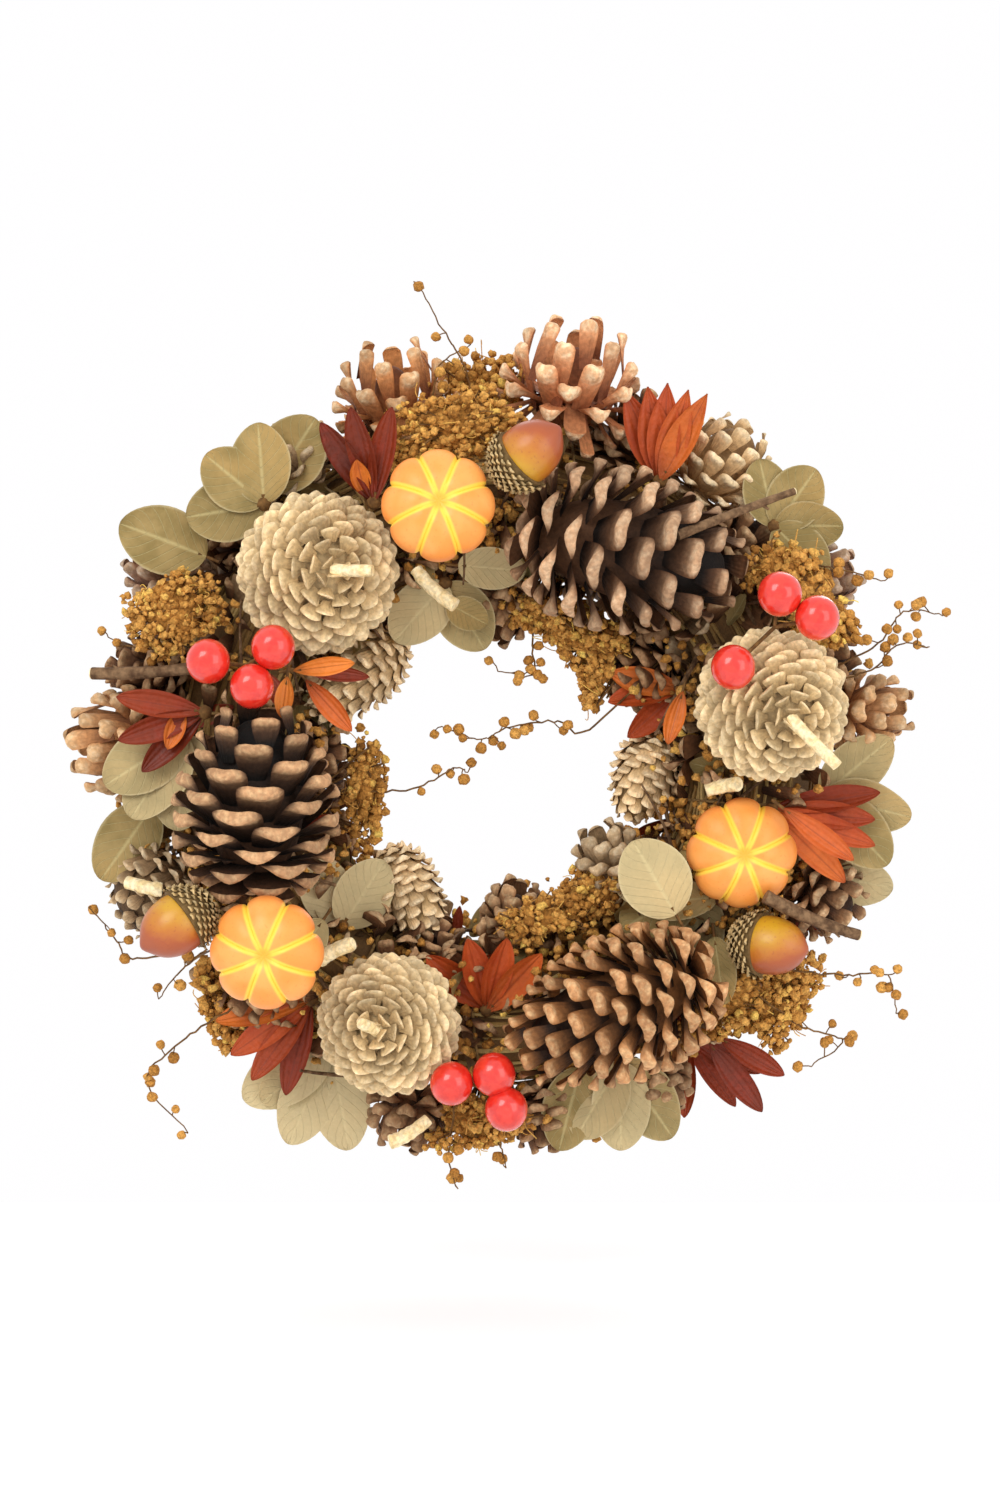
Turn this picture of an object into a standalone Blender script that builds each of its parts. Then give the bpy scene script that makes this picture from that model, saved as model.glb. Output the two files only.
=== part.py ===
"""Harvest door wreath: a straw ring with cones, leaves, pumpkins, acorns and berries glued on.

The wreath hangs flat on a door. The door is the plane y = 0, the front faces -Y and +Z is up.
The origin is the hanging point: on the door, at the height where a nail carries the wire loop.
The only piece that moves is that loop, which swings in a staple at the ring's top edge.
Every ornament is brought up to the wreath along its own direction until it is one glue
clearance from what already lies there, so the arrangement follows when a size is changed.
"""
import math
import random

import bmesh
import bpy
from mathutils import Matrix, Vector
from mathutils.bvhtree import BVHTree

MM = 0.001
FULL_TURN = 2 * math.pi
FRONT = Vector((0, -1, 0))
UP = Vector((0, 0, 1))

# Straw ring
RING_RADIUS = 92 * MM        # centre of the wreath to the middle of the ring's section
RING_WIDTH = 52 * MM
RING_DEPTH = 23 * MM

# Hanger at the top of the ring: a wire loop hinged under a wire staple
LOOP_HEIGHT = 16 * MM        # hinge axis to the inside of the loop's top
LOOP_WIDTH = 14 * MM         # between the centres of the loop's two legs
LOOP_WIRE = 1.6 * MM
LOOP_LEAN = 8                # degrees that the resting loop tips to the front
STAPLE_WIRE = 1.4 * MM
STAPLE_GRIP = 8 * MM         # how deep the staple's legs go into the ring
HINGE_DEPTH = 6 * MM         # hinge axis in front of the door
HINGE_CLEARANCE = 0.6 * MM   # loop wire to staple wire and to the ring

GLUE_CLEARANCE = 0.3 * MM    # kept between any two pieces that touch on the real wreath
DOOR_CLEARANCE = 1 * MM      # kept between the ornaments and the door
SEAT_STEPS = (1 * MM, 0.1 * MM)    # a piece moves up in the first step, then in the second

# Ornaments that come in one size
PUMPKIN_WIDTH = 40 * MM
PUMPKIN_HEIGHT = 25 * MM
PUMPKIN_LOBES = 8
BERRY_DIAMETER = 15.3 * MM
BERRY_WIRE = 1.8 * MM
ACORN_LENGTH = 28 * MM
ACORN_WIDTH = 20.5 * MM
ACORN_CUP_WALL = 1.6 * MM
LEAF_THICKNESS = 1.1 * MM
KNOB_DIAMETER = 6 * MM       # the bound root that a sprig's leaves grow from
STALK_DIAMETER = 5.2 * MM

RING_OUTER = RING_RADIUS + RING_WIDTH / 2
HINGE_RISE = LOOP_WIRE / 2 + HINGE_CLEARANCE
WREATH_CENTRE = Vector((0, 0, -(LOOP_HEIGHT + HINGE_RISE + RING_OUTER)))
HINGE = Vector((0, -HINGE_DEPTH, -LOOP_HEIGHT))

# In the tables below a place is a clock angle in degrees, seen from the front, and the
# distance in mm outside (+) or inside (-) the middle of the ring's section. "turn" is the
# clock direction that a piece points to, and "lean" how far it points out to the viewer.

# name, clock, offset, length, width, turn, lean
LARGE_CONES = [
    ("open_cone_left", 259, -10, 70, 58, 2, 6),
    ("open_cone_upper_right", 33, -7, 84, 60, 103, 4),
    ("open_cone_lower_right", 154, 5, 80, 54, 247, 4),
]

# name, clock, offset, length, width, turn, lean, stalk turn, stalk lean, stalk length
ROUND_CONES = [
    ("round_cone_upper_left", 316, -4, 46, 58, 270, -70, 92, 22, 17),
    ("round_cone_right", 79, 5, 46, 54, 315, -68, 137, 18, 27),
    ("round_cone_lower_left", 201, 7, 42, 51, 80, -76, 300, 50, 10),
]

# Cones standing round the outer edge: name, clock, length, width, turn, lean
OUTER_CONES = [
    ("edge_cone_top_left", 345, 42, 48, 350, 8),
    ("edge_cone_top", 12, 50, 54, 12, 8),
    ("edge_cone_top_right", 38, 37, 38, 40, 6),
    ("edge_cone_upper_right", 62, 33, 29, 62, 6),
    ("edge_cone_right", 83, 37, 32, 84, 6),
    ("edge_cone_lower_right", 113, 30, 36, 122, 4),
    ("edge_cone_bottom", 172, 28, 30, 166, 6),
    ("edge_cone_lower_left", 248, 32, 44, 236, 4),
    ("edge_cone_left", 272, 40, 44, 268, 6),
    ("edge_cone_upper_left", 299, 34, 30, 303, 6),
    ("edge_cone_top_far_left", 325, 28, 42, 318, 4),
]

# Cones lying against the inner edge, same columns
INNER_CONES = [
    ("inner_cone_upper_left", 301, 44, 31, 228, 4),
    ("inner_cone_lower_left", 212, 38, 29, 150, 10),
    ("inner_cone_right", 97, 36, 28, 200, 8),
    ("inner_cone_top", 4, 30, 28, 195, 8),
    ("inner_cone_bottom", 172, 26, 26, 10, 14),
]

# Sprigs of rust-coloured pointed leaves:
# name, clock, offset, leaf length, leaf width, turn, lean, leaf angles clockwise of the turn, bend
RUST_SPRIGS = [
    ("rust_sprig_top_left", 335, 5, 34, 10, 0, 14, (-32, -10, 12), 0.12),
    ("rust_sprig_top_right", 31, 21, 34, 11, 6, 12, (-26, -14, -2, 10, 22), 0.10),
    ("rust_sprig_left", 279, 9, 31, 10, 262, 6, (-36, -10, 18), 0.06),
    ("rust_sprig_inner_right", 71, -21, 27, 10, 252, 10, (-22, 6, 32), 0.10),
    ("rust_sprig_right", 100, 8, 38, 10, 104, 6, (-22, -8, 6, 32), 0.05),
    ("rust_sprig_bottom", 181, -3, 30, 11, 0, 22, (-46, -16, 12, 40), 0.14),
    ("rust_sprig_lower_left", 217, 15, 34, 10, 232, 6, (-40, -18, 4, 26), 0.06),
    ("rust_sprig_lower_right", 145, 32, 32, 9, 152, 2, (-34, -6, 28), 0.04),
]

# Sprigs of round grey-green leaves, same columns
EUCALYPTUS_SPRIGS = [
    ("eucalyptus_sprig_top_left", 318, 25, 28, 23, 322, 4, (-62, -12, 34), 0.04),
    ("eucalyptus_sprig_inner_left", 345, -28, 28, 22, 206, 4, (-56, 14), 0.06),
    ("eucalyptus_sprig_top_right", 51, 35, 25, 20, 60, 4, (-72, -22, 26, 74), 0.06),
    ("eucalyptus_sprig_left", 274, 15, 34, 24, 214, 2, (-30, -2, 24), 0.02),
    ("eucalyptus_sprig_lower_left", 221, -13, 28, 20, 20, 6, (-44, 14), 0.08),
    ("eucalyptus_sprig_right", 97, 25, 32, 20, 96, 2, (-46, 8, 42), 0.02),
    ("eucalyptus_sprig_inner_right", 122, -7, 31, 22, 250, 6, (-72, -10, 26), 0.06),
    ("eucalyptus_sprig_bottom_left", 209, 27, 37, 23, 204, 2, (-34, 0, 34), 0.02),
    ("eucalyptus_sprig_bottom_right", 157, 25, 31, 21, 178, 2, (-34, 2, 34), 0.02),
]

# Clumps of small dried buds: name, clock, offset, width, height, depth, turn
BUD_CLUMPS = [
    ("bud_clump_top", 355, 22, 50, 34, 20, 84),
    ("bud_clump_left", 294, 27, 40, 38, 20, 114),
    ("bud_clump_inner_top", 35, -40, 38, 24, 18, 122),
    ("bud_clump_right", 65, 32, 40, 28, 18, 152),
    ("bud_clump_lower_right", 130, 39, 44, 34, 20, 40),
    ("bud_clump_lower_left", 226, 35, 42, 30, 18, 136),
]

# name, clock, offset, turn, lean
PUMPKINS = [
    ("pumpkin_top", 348, -5, 20, 82),
    ("pumpkin_right", 111, 1, 150, 84),
    ("pumpkin_left", 229, 8, 215, 82),
]

# name, clock, offset, turn, lean
ACORNS = [
    ("top", 7, 12, 52, 20),
    ("right", 124, 25, 96, 30),
    ("left", 242, 29, 236, 16),
]

# Picks of three berries: name, then clock and offset of each berry
BERRY_PICKS = [
    ("berry_pick_left", ((288.6, 9), (296.8, -10), (286.5, -8))),
    ("berry_pick_right", ((60.5, 19), (66.9, 27), (69.5, -6))),
    ("berry_pick_bottom", ((187.2, 21), (179.5, 17), (177.5, 29))),
]


# ---------------------------------------------------------------- scene and materials

def clear_scene():
    """Remove every object that the file starts with."""
    for thing in list(bpy.data.objects):
        bpy.data.objects.remove(thing, do_unlink=True)


def new_collection(name):
    """A collection linked to the scene."""
    collection = bpy.data.collections.new(name)
    bpy.context.scene.collection.children.link(collection)
    return collection


def new_material(name, color, roughness, metallic=0.0):
    """A Principled BSDF material with one colour."""
    material = bpy.data.materials.new(name)
    material.use_nodes = True
    shader = material.node_tree.nodes["Principled BSDF"]
    shader.inputs["Base Color"].default_value = (*color, 1)
    shader.inputs["Roughness"].default_value = roughness
    shader.inputs["Metallic"].default_value = metallic
    material.diffuse_color = (*color, 1)
    return material


def new_object(name, mesh, material, collection, sharp_degrees=40):
    """A smooth-shaded object with its own copy of the material."""
    own = material.copy()
    own.name = name
    mesh.materials.clear()
    mesh.materials.append(own)
    mesh.shade_smooth()
    mesh.set_sharp_from_angle(angle=math.radians(sharp_degrees))
    thing = bpy.data.objects.new(name, mesh)
    collection.objects.link(thing)
    return thing


# ---------------------------------------------------------------- directions and frames

def clock_direction(clock):
    """The unit vector at a clock angle in the wreath's plane."""
    angle = math.radians(clock)
    return Vector((math.sin(angle), 0, math.cos(angle)))


def pointing(turn, lean):
    """The unit vector at a clock direction, raised towards the viewer by lean degrees."""
    tilt = math.radians(lean)
    return clock_direction(turn) * math.cos(tilt) + FRONT * math.sin(tilt)


def frame_along(axis):
    """A rotation whose local Z is the axis and whose local Y faces the viewer."""
    side = FRONT if abs(axis.dot(FRONT)) < 0.98 else UP
    facing = (side - axis * side.dot(axis)).normalized()
    across = facing.cross(axis)
    return Matrix((across, facing, axis)).transposed()


def on_ring(clock, offset_mm, depth=0.0):
    """The point at a clock angle, a distance from the ring's middle and a depth off the door."""
    radius = RING_RADIUS + offset_mm * MM
    return WREATH_CENTRE + clock_direction(clock) * radius + FRONT * depth


# ---------------------------------------------------------------- meshes

def mesh_from(bm, name):
    """Turn a bmesh into a mesh."""
    mesh = bpy.data.meshes.new(name)
    bm.to_mesh(mesh)
    bm.free()
    return mesh


def unit_sphere(segments, rings):
    """A UV sphere of radius 1 as a bmesh."""
    bm = bmesh.new()
    bmesh.ops.create_uvsphere(bm, u_segments=segments, v_segments=rings, radius=1)
    return bm


def shaped_sphere(name, segments, rings, shape):
    """A sphere whose points are moved by shape(point, ring number, segment number)."""
    bm = unit_sphere(segments, rings)
    for vert in bm.verts:
        polar = math.acos(max(-1.0, min(1.0, vert.co.z)))
        ring = round(polar / math.pi * rings)
        segment = round(math.atan2(vert.co.y, vert.co.x) / FULL_TURN * segments)
        vert.co = shape(vert.co.copy(), ring, segment)
    bmesh.ops.triangulate(bm, faces=bm.faces)
    return mesh_from(bm, name)


def cone_mesh(name, length, width, segments, rings, relief, taper):
    """An egg-shaped cone, base at -Z and tip at +Z, with every other point a raised scale."""
    def shape(point, ring, segment):
        scale_up = 1 + relief if (ring + segment) % 2 else 1 - relief
        if ring in (0, rings):
            scale_up = 1
        belly = width / 2 / (1 + relief) * (1 - taper * point.z)
        return Vector((point.x * belly * scale_up, point.y * belly * scale_up,
                       point.z * length / 2))
    return shaped_sphere(name, segments, rings, shape)


def pumpkin_mesh(name):
    """A flat lobed pumpkin with a dimple at both ends of its Z axis."""
    points_a_lobe = 3
    segments = PUMPKIN_LOBES * points_a_lobe
    groove = 0.93
    dimple = 0.24

    def shape(point, ring, segment):
        flat = math.hypot(point.x, point.y)
        rim = PUMPKIN_WIDTH / 2 * (groove if segment % points_a_lobe == 0 else 1)
        sunk = 1 - dimple * math.exp(-((flat / 0.4) ** 2))
        return Vector((point.x * rim, point.y * rim, point.z * PUMPKIN_HEIGHT / 2 * sunk))
    return shaped_sphere(name, segments, 8, shape)


def clump_mesh(name, width, height, depth, seed):
    """An uneven lump, wide along Z, with depth along Y."""
    rng = random.Random(seed)
    roughness = 0.14

    def shape(point, ring, segment):
        bump = 1 + rng.uniform(-roughness, roughness)
        return Vector((point.x * height / 2 * bump, point.y * depth / 2 * bump,
                       point.z * width / 2 * bump))
    return shaped_sphere(name, 10, 7, shape)


def leaf_mesh(name, length, width, sharpness, bend):
    """A thin leaf along +Z from its root at 0, with its tip bent to +Y by bend times length."""
    def shape(point, ring, segment):
        along = (point.z + 1) / 2
        spread = math.hypot(point.x, point.y)
        narrowing = spread ** (sharpness - 1) if spread > 0.01 else 1
        return Vector((point.x * narrowing * width / 2,
                       point.y * LEAF_THICKNESS / 2 + bend * length * along ** 2,
                       along * length))
    return shaped_sphere(name, 6, 5, shape)


def ball_mesh(name, diameter, segments, rings):
    """A plain ball."""
    return shaped_sphere(name, segments, rings, lambda point, ring, segment: point * diameter / 2)


def rod_mesh(name, start, end, diameter, sides=8):
    """A round bar between two points."""
    bm = bmesh.new()
    along = end - start
    place = Matrix.Translation((start + end) / 2) @ along.to_track_quat("Z", "Y").to_matrix().to_4x4()
    bmesh.ops.create_cone(bm, cap_ends=True, segments=sides, radius1=diameter / 2,
                          radius2=diameter / 2, depth=along.length, matrix=place)
    return mesh_from(bm, name)


def evaluated_mesh(thing):
    """The object's mesh with its modifiers applied."""
    depsgraph = bpy.context.evaluated_depsgraph_get()
    return bpy.data.meshes.new_from_object(thing.evaluated_get(depsgraph))


def combine(name, meshes, operation="UNION"):
    """Union the meshes, or cut all the later ones from the first."""
    scratch = bpy.context.scene.collection
    body = bpy.data.objects.new(name, meshes[0])
    scratch.objects.link(body)
    tools = []
    for mesh in meshes[1:]:
        tool = bpy.data.objects.new(name + "_tool", mesh)
        scratch.objects.link(tool)
        tool.hide_render = True
        tool.display_type = "WIRE"
        boolean = body.modifiers.new("combine", "BOOLEAN")
        boolean.operation = operation
        boolean.object = tool
        tools.append(tool)
    result = evaluated_mesh(body)
    for thing in [body, *tools]:
        bpy.data.objects.remove(thing, do_unlink=True)
    bm = bmesh.new()
    bm.from_mesh(result)
    bmesh.ops.triangulate(bm, faces=bm.faces)
    return mesh_from(bm, name)


def turned_mesh(name, profile, steps):
    """Turn a closed or axis-to-axis profile of (radius, height) points round Z."""
    closed = profile[0][0] > 0
    bm = bmesh.new()
    verts = [bm.verts.new((radius, 0, height)) for radius, height in profile]
    for here, after in zip(verts, verts[1:]):
        bm.edges.new((here, after))
    if closed:
        bm.edges.new((verts[-1], verts[0]))
    body = bpy.data.objects.new(name, mesh_from(bm, name))
    bpy.context.scene.collection.objects.link(body)
    screw = body.modifiers.new("turn", "SCREW")
    screw.steps = steps
    screw.render_steps = steps
    screw.use_merge_vertices = True
    screw.merge_threshold = 0.00005
    result = evaluated_mesh(body)
    bpy.data.objects.remove(body, do_unlink=True)
    return result


def wire_mesh(name, points, diameter, cyclic):
    """A round wire through the points, as a closed mesh."""
    curve = bpy.data.curves.new(name, "CURVE")
    curve.dimensions = "3D"
    curve.bevel_depth = diameter / 2
    curve.bevel_resolution = 2
    curve.use_fill_caps = not cyclic
    spline = curve.splines.new("POLY")
    spline.points.add(len(points) - 1)
    for slot, point in zip(spline.points, points):
        slot.co = (*point, 1)
    spline.use_cyclic_u = cyclic
    body = bpy.data.objects.new(name, curve)
    bpy.context.scene.collection.objects.link(body)
    result = evaluated_mesh(body)
    bpy.data.objects.remove(body, do_unlink=True)
    bm = bmesh.new()
    bm.from_mesh(result)
    bmesh.ops.remove_doubles(bm, verts=bm.verts, dist=0.00002)
    bm.to_mesh(result)
    bm.free()
    return result


# ---------------------------------------------------------------- seating pieces

class Wreath:
    """The pieces placed so far, and the way to bring another one up to them."""

    def __init__(self, collection, centre):
        self.collection = collection
        self.centre = centre
        self.trees = []

    def keep(self, thing):
        """Add a placed piece to what later pieces meet."""
        self.trees.append(self.skin(thing.data, thing.matrix_world, 0))

    @staticmethod
    def skin(mesh, placement, thickening):
        """A search tree of a mesh, grown outwards by the thickening."""
        points = [placement @ (vert.co + vert.normal * thickening) for vert in mesh.vertices]
        return BVHTree.FromPolygons(points, [face.vertices for face in mesh.polygons])

    def meets(self, meshes, placement):
        """Whether the thickened meshes touch a placed piece."""
        for mesh in meshes:
            tree = self.skin(mesh, placement, GLUE_CLEARANCE)
            if any(tree.overlap(other) for other in self.trees):
                return True
        return False

    def seat(self, meshes, target, rotation, travel):
        """Slide the meshes along travel, through target, until they are a clearance from the rest."""
        back = max((rotation @ vert.co).y for mesh in meshes for vert in mesh.vertices)
        nearest_door = -(back + DOOR_CLEARANCE)
        target = Vector((target.x, min(target.y, nearest_door), target.z))

        def placed(distance):
            return Matrix.Translation(target + travel * distance) @ rotation.to_4x4()

        def blocked(distance):
            behind_door = (target + travel * distance).y > nearest_door + SEAT_STEPS[-1]
            return behind_door or self.meets(meshes, placed(distance))

        distance = -RING_OUTER
        while distance < 0 and blocked(distance):
            distance += SEAT_STEPS[0]
        for step in SEAT_STEPS:
            while distance < RING_OUTER and not blocked(distance + step):
                distance += step
        return placed(distance)

    def slide(self, meshes, placement, travel):
        """Slide placed meshes along travel until they are a clearance from the rest."""
        def moved(distance):
            return Matrix.Translation(travel * distance) @ placement

        distance = 0
        for step in SEAT_STEPS:
            while distance < RING_WIDTH and not self.meets(meshes, moved(distance + step)):
                distance += step
        return moved(distance)

    def add(self, name, mesh, material, placement):
        """Make the piece, hang it on the wreath's centre and keep it."""
        thing = new_object(name, mesh, material, self.collection)
        thing.parent = self.centre
        thing.matrix_world = placement
        bpy.context.view_layer.update()
        self.keep(thing)
        return thing

    def add_from_front(self, name, mesh, material, clock, offset, rotation):
        """Seat a piece straight back, and across to the ring if nothing stops it before the door."""
        placement = self.seat([mesh], on_ring(clock, offset, RING_DEPTH), rotation, -FRONT)
        if not self.meets([mesh], Matrix.Translation(-FRONT * 2 * SEAT_STEPS[-1]) @ placement):
            placement = self.slide([mesh], placement, clock_direction(clock) * (-1 if offset > 0 else 1))
        return self.add(name, mesh, material, placement)

    def add_from_side(self, name, mesh, material, clock, rotation, travel):
        """Seat a piece against the ring's edge, with its back at the door clearance."""
        placement = self.seat([mesh], on_ring(clock, 0), rotation, travel)
        return self.add(name, mesh, material, placement)


# ---------------------------------------------------------------- the pieces

def ring_profile():
    """The ring's section: flat towards the door, arched to the front."""
    points = 9
    profile = []
    for number in range(points):
        angle = math.pi * (1 - number / (points - 1))
        profile.append((RING_RADIUS + RING_WIDTH / 2 * math.cos(angle), RING_DEPTH * math.sin(angle)))
    return profile


def staple_points():
    """The staple's wire: up out of the ring, over the loop's bar along Y and back down."""
    half_gap = LOOP_WIRE / 2 + HINGE_CLEARANCE + STAPLE_WIRE / 2
    foot = HINGE.z - HINGE_RISE - STAPLE_GRIP
    points = [Vector((0, HINGE.y - half_gap, foot))]
    bends = 6
    for number in range(bends + 1):
        angle = math.pi * number / bends
        points.append(HINGE + Vector((0, -half_gap * math.cos(angle), half_gap * math.sin(angle))))
    points.append(Vector((0, HINGE.y + half_gap, foot)))
    return points


def loop_points():
    """The loop's wire about its hinge axis: a bar along X, two legs and a round top."""
    half = LOOP_WIDTH / 2
    spring_line = LOOP_HEIGHT + LOOP_WIRE / 2 - half
    points = [Vector((-half + LOOP_WIRE, 0, 0)), Vector((half - LOOP_WIRE, 0, 0)),
              Vector((half, 0, LOOP_WIRE))]
    bends = 10
    for number in range(bends + 1):
        angle = math.pi * number / bends
        points.append(Vector((half * math.cos(angle), 0, spring_line + half * math.sin(angle))))
    points.append(Vector((-half, 0, LOOP_WIRE)))
    return points


def build_ring_and_hanger(wreath, collection):
    """The ring with two leg holes, the staple in them and the loop under the staple."""
    straw = new_material("straw", (0.55, 0.42, 0.22), 0.9)
    steel = new_material("steel", (0.45, 0.45, 0.45), 0.35, 1.0)

    turn_to_front = Matrix.Rotation(math.radians(90), 4, "X")
    ring = turned_mesh("ring", ring_profile(), 40)
    ring.transform(Matrix.Translation(WREATH_CENTRE) @ turn_to_front)
    staple_line = staple_points()
    holes = []
    for foot, top in ((staple_line[0], staple_line[1]), (staple_line[-1], staple_line[-2])):
        hole_end = foot - UP * GLUE_CLEARANCE
        hole_width = STAPLE_WIRE + 2 * GLUE_CLEARANCE
        holes.append(rod_mesh("leg_hole", hole_end, top, hole_width))
    ring = combine("base_ring", [ring, *holes], "DIFFERENCE")
    wreath.add("base_ring", ring, straw, Matrix())

    staple = wire_mesh("hanger_staple", staple_line, STAPLE_WIRE, cyclic=False)
    wreath.add("hanger_staple", staple, steel, Matrix())

    hinge = bpy.data.objects.new("loop_hinge", None)
    hinge.location = HINGE
    hinge.rotation_euler = (math.radians(LOOP_LEAN), 0, 0)
    collection.objects.link(hinge)
    loop = wire_mesh("hanging_loop", loop_points(), LOOP_WIRE, cyclic=True)
    thing = new_object("hanging_loop", loop, steel, collection)
    thing.parent = hinge
    bpy.context.view_layer.update()
    wreath.keep(thing)


def build_edge_cones(wreath):
    """Small cones round the outer edge and in the hole."""
    bark = new_material("small_cone", (0.42, 0.30, 0.20), 0.85)
    for table, inward in ((OUTER_CONES, -1), (INNER_CONES, 1)):
        for name, clock, length, width, turn, lean in table:
            mesh = cone_mesh(name, length * MM, width * MM, 10, 8, 0.12, 0.15)
            travel = clock_direction(clock) * inward
            wreath.add_from_side(name, mesh, bark, clock, frame_along(pointing(turn, lean)),
                                 travel)


def build_large_cones(wreath):
    """The three large open cones on the front."""
    bark = new_material("large_cone", (0.16, 0.10, 0.07), 0.8)
    for name, clock, offset, length, width, turn, lean in LARGE_CONES:
        mesh = cone_mesh(name, length * MM, width * MM, 18, 13, 0.10, 0.16)
        wreath.add_from_front(name, mesh, bark, clock, offset, frame_along(pointing(turn, lean)))


def build_round_cones(wreath):
    """The three closed round cones, base and stalk towards the viewer."""
    bark = new_material("round_cone", (0.50, 0.44, 0.31), 0.9)
    for row in ROUND_CONES:
        name, clock, offset, length, width, turn, lean, stalk_turn, stalk_lean, stalk_length = row
        rotation = frame_along(pointing(turn, lean))
        body = cone_mesh(name, length * MM, width * MM, 18, 11, 0.04, 0.10)
        root = Vector((0, 0, -length * MM / 2 + STALK_DIAMETER / 2))
        stalk_line = rotation.inverted() @ pointing(stalk_turn, stalk_lean)
        stalk = rod_mesh("stalk", root, root + stalk_line * stalk_length * MM, STALK_DIAMETER)
        mesh = combine(name, [body, stalk])
        wreath.add_from_front(name, mesh, bark, clock, offset, rotation)


def build_pumpkins(wreath):
    """The three lobed pumpkins, seen from above."""
    skin = new_material("pumpkin", (0.85, 0.42, 0.14), 0.45)
    for name, clock, offset, turn, lean in PUMPKINS:
        wreath.add_from_front(name, pumpkin_mesh(name), skin, clock, offset,
                              frame_along(pointing(turn, lean)))


def acorn_meshes(name):
    """A nut along +Z and the cup round its lower part."""
    nut = cone_mesh("nut", ACORN_LENGTH, ACORN_WIDTH, 12, 8, 0, 0.06)
    inner_radius = ACORN_WIDTH / 2 + 2 * GLUE_CLEARANCE
    inner_height = ACORN_LENGTH / 2 + 2 * GLUE_CLEARANCE
    inner = []
    outer = []
    steps = 4
    for number in range(steps + 1):
        angle = math.radians(78) * number / steps
        for line, wall in ((inner, 0), (outer, ACORN_CUP_WALL)):
            line.append(((inner_radius + wall) * math.sin(angle) * 1.03,
                         -(inner_height + wall) * math.cos(angle)))
    cup = turned_mesh("cup", inner + outer[::-1], 12)
    return nut, cup


def build_acorns(wreath):
    """Each acorn's nut and cup, seated together."""
    nut_skin = new_material("acorn_nut", (0.72, 0.34, 0.12), 0.35)
    cup_skin = new_material("acorn_cup", (0.45, 0.37, 0.26), 0.9)
    for place, clock, offset, turn, lean in ACORNS:
        nut, cup = acorn_meshes(place)
        placement = wreath.seat([nut, cup], on_ring(clock, offset, RING_DEPTH),
                                frame_along(pointing(turn, lean)), -FRONT)
        wreath.add("acorn_nut_" + place, nut, nut_skin, placement)
        wreath.add("acorn_cup_" + place, cup, cup_skin, placement)


def build_berries(wreath):
    """Each pick's three berries, on wires that meet behind them."""
    gloss = new_material("berry", (0.75, 0.06, 0.05), 0.12)
    for name, places in BERRY_PICKS:
        spots = [on_ring(clock, offset) for clock, offset in places]
        middle = sum(spots, Vector()) / len(spots)
        joint = -FRONT * BERRY_DIAMETER * 0.55
        meshes = [ball_mesh("wire_joint", BERRY_WIRE * 1.6, 6, 4)]
        meshes[0].transform(Matrix.Translation(joint))
        for spot in spots:
            berry = ball_mesh("berry", BERRY_DIAMETER, 10, 7)
            berry.transform(Matrix.Translation(spot - middle))
            meshes.append(berry)
            meshes.append(rod_mesh("wire", joint, spot - middle, BERRY_WIRE, 6))
        mesh = combine(name, meshes)
        placement = wreath.seat([mesh], middle + FRONT * RING_DEPTH, Matrix.Identity(3), -FRONT)
        wreath.add(name, mesh, gloss, placement)


def build_sprigs(wreath, table, material, sharpness):
    """Sprigs of flat leaves fanned out from a bound root."""
    for name, clock, offset, length, width, turn, lean, angles, bend in table:
        meshes = [ball_mesh("knob", KNOB_DIAMETER, 6, 4)]
        for number, angle in enumerate(angles):
            leaf = leaf_mesh("leaf", length * MM, width * MM, sharpness, bend)
            step = LEAF_THICKNESS * (number - (len(angles) - 1) / 2)
            fan = Matrix.Rotation(-math.radians(angle), 4, "Y")
            leaf.transform(Matrix.Translation((0, step, 0)) @ fan)
            meshes.append(leaf)
        mesh = combine(name, meshes)
        wreath.add_from_front(name, mesh, material, clock, offset, frame_along(pointing(turn, lean)))


def build_bud_clumps(wreath):
    """Clumps of small dried buds."""
    buds = new_material("buds", (0.50, 0.34, 0.12), 0.95)
    for seed, (name, clock, offset, width, height, depth, turn) in enumerate(BUD_CLUMPS):
        mesh = clump_mesh(name, width * MM, height * MM, depth * MM, seed)
        wreath.add_from_front(name, mesh, buds, clock, offset, frame_along(clock_direction(turn)))


def build():
    """Build the whole wreath, from the door outwards."""
    clear_scene()
    collection = new_collection("harvest_door_wreath")
    centre = bpy.data.objects.new("wreath_centre", None)
    centre.location = WREATH_CENTRE
    collection.objects.link(centre)
    bpy.context.view_layer.update()
    wreath = Wreath(collection, centre)

    build_ring_and_hanger(wreath, collection)
    build_edge_cones(wreath)
    eucalyptus = new_material("eucalyptus", (0.42, 0.42, 0.28), 0.7)
    build_sprigs(wreath, EUCALYPTUS_SPRIGS, eucalyptus, 1.0)
    build_bud_clumps(wreath)
    rust = new_material("rust_leaf", (0.50, 0.12, 0.05), 0.6)
    build_sprigs(wreath, RUST_SPRIGS, rust, 1.5)
    build_large_cones(wreath)
    build_round_cones(wreath)
    build_acorns(wreath)
    build_pumpkins(wreath)
    build_berries(wreath)


build()
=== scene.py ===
"""Harvest door wreath, seen as it hangs: cones, leaves, pumpkins, acorns and berries on straw.

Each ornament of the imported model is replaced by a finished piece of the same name, fitted into
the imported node's own box. Loose sprays, twigs and filling ride on the wreath's body.
"""

import math

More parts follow.
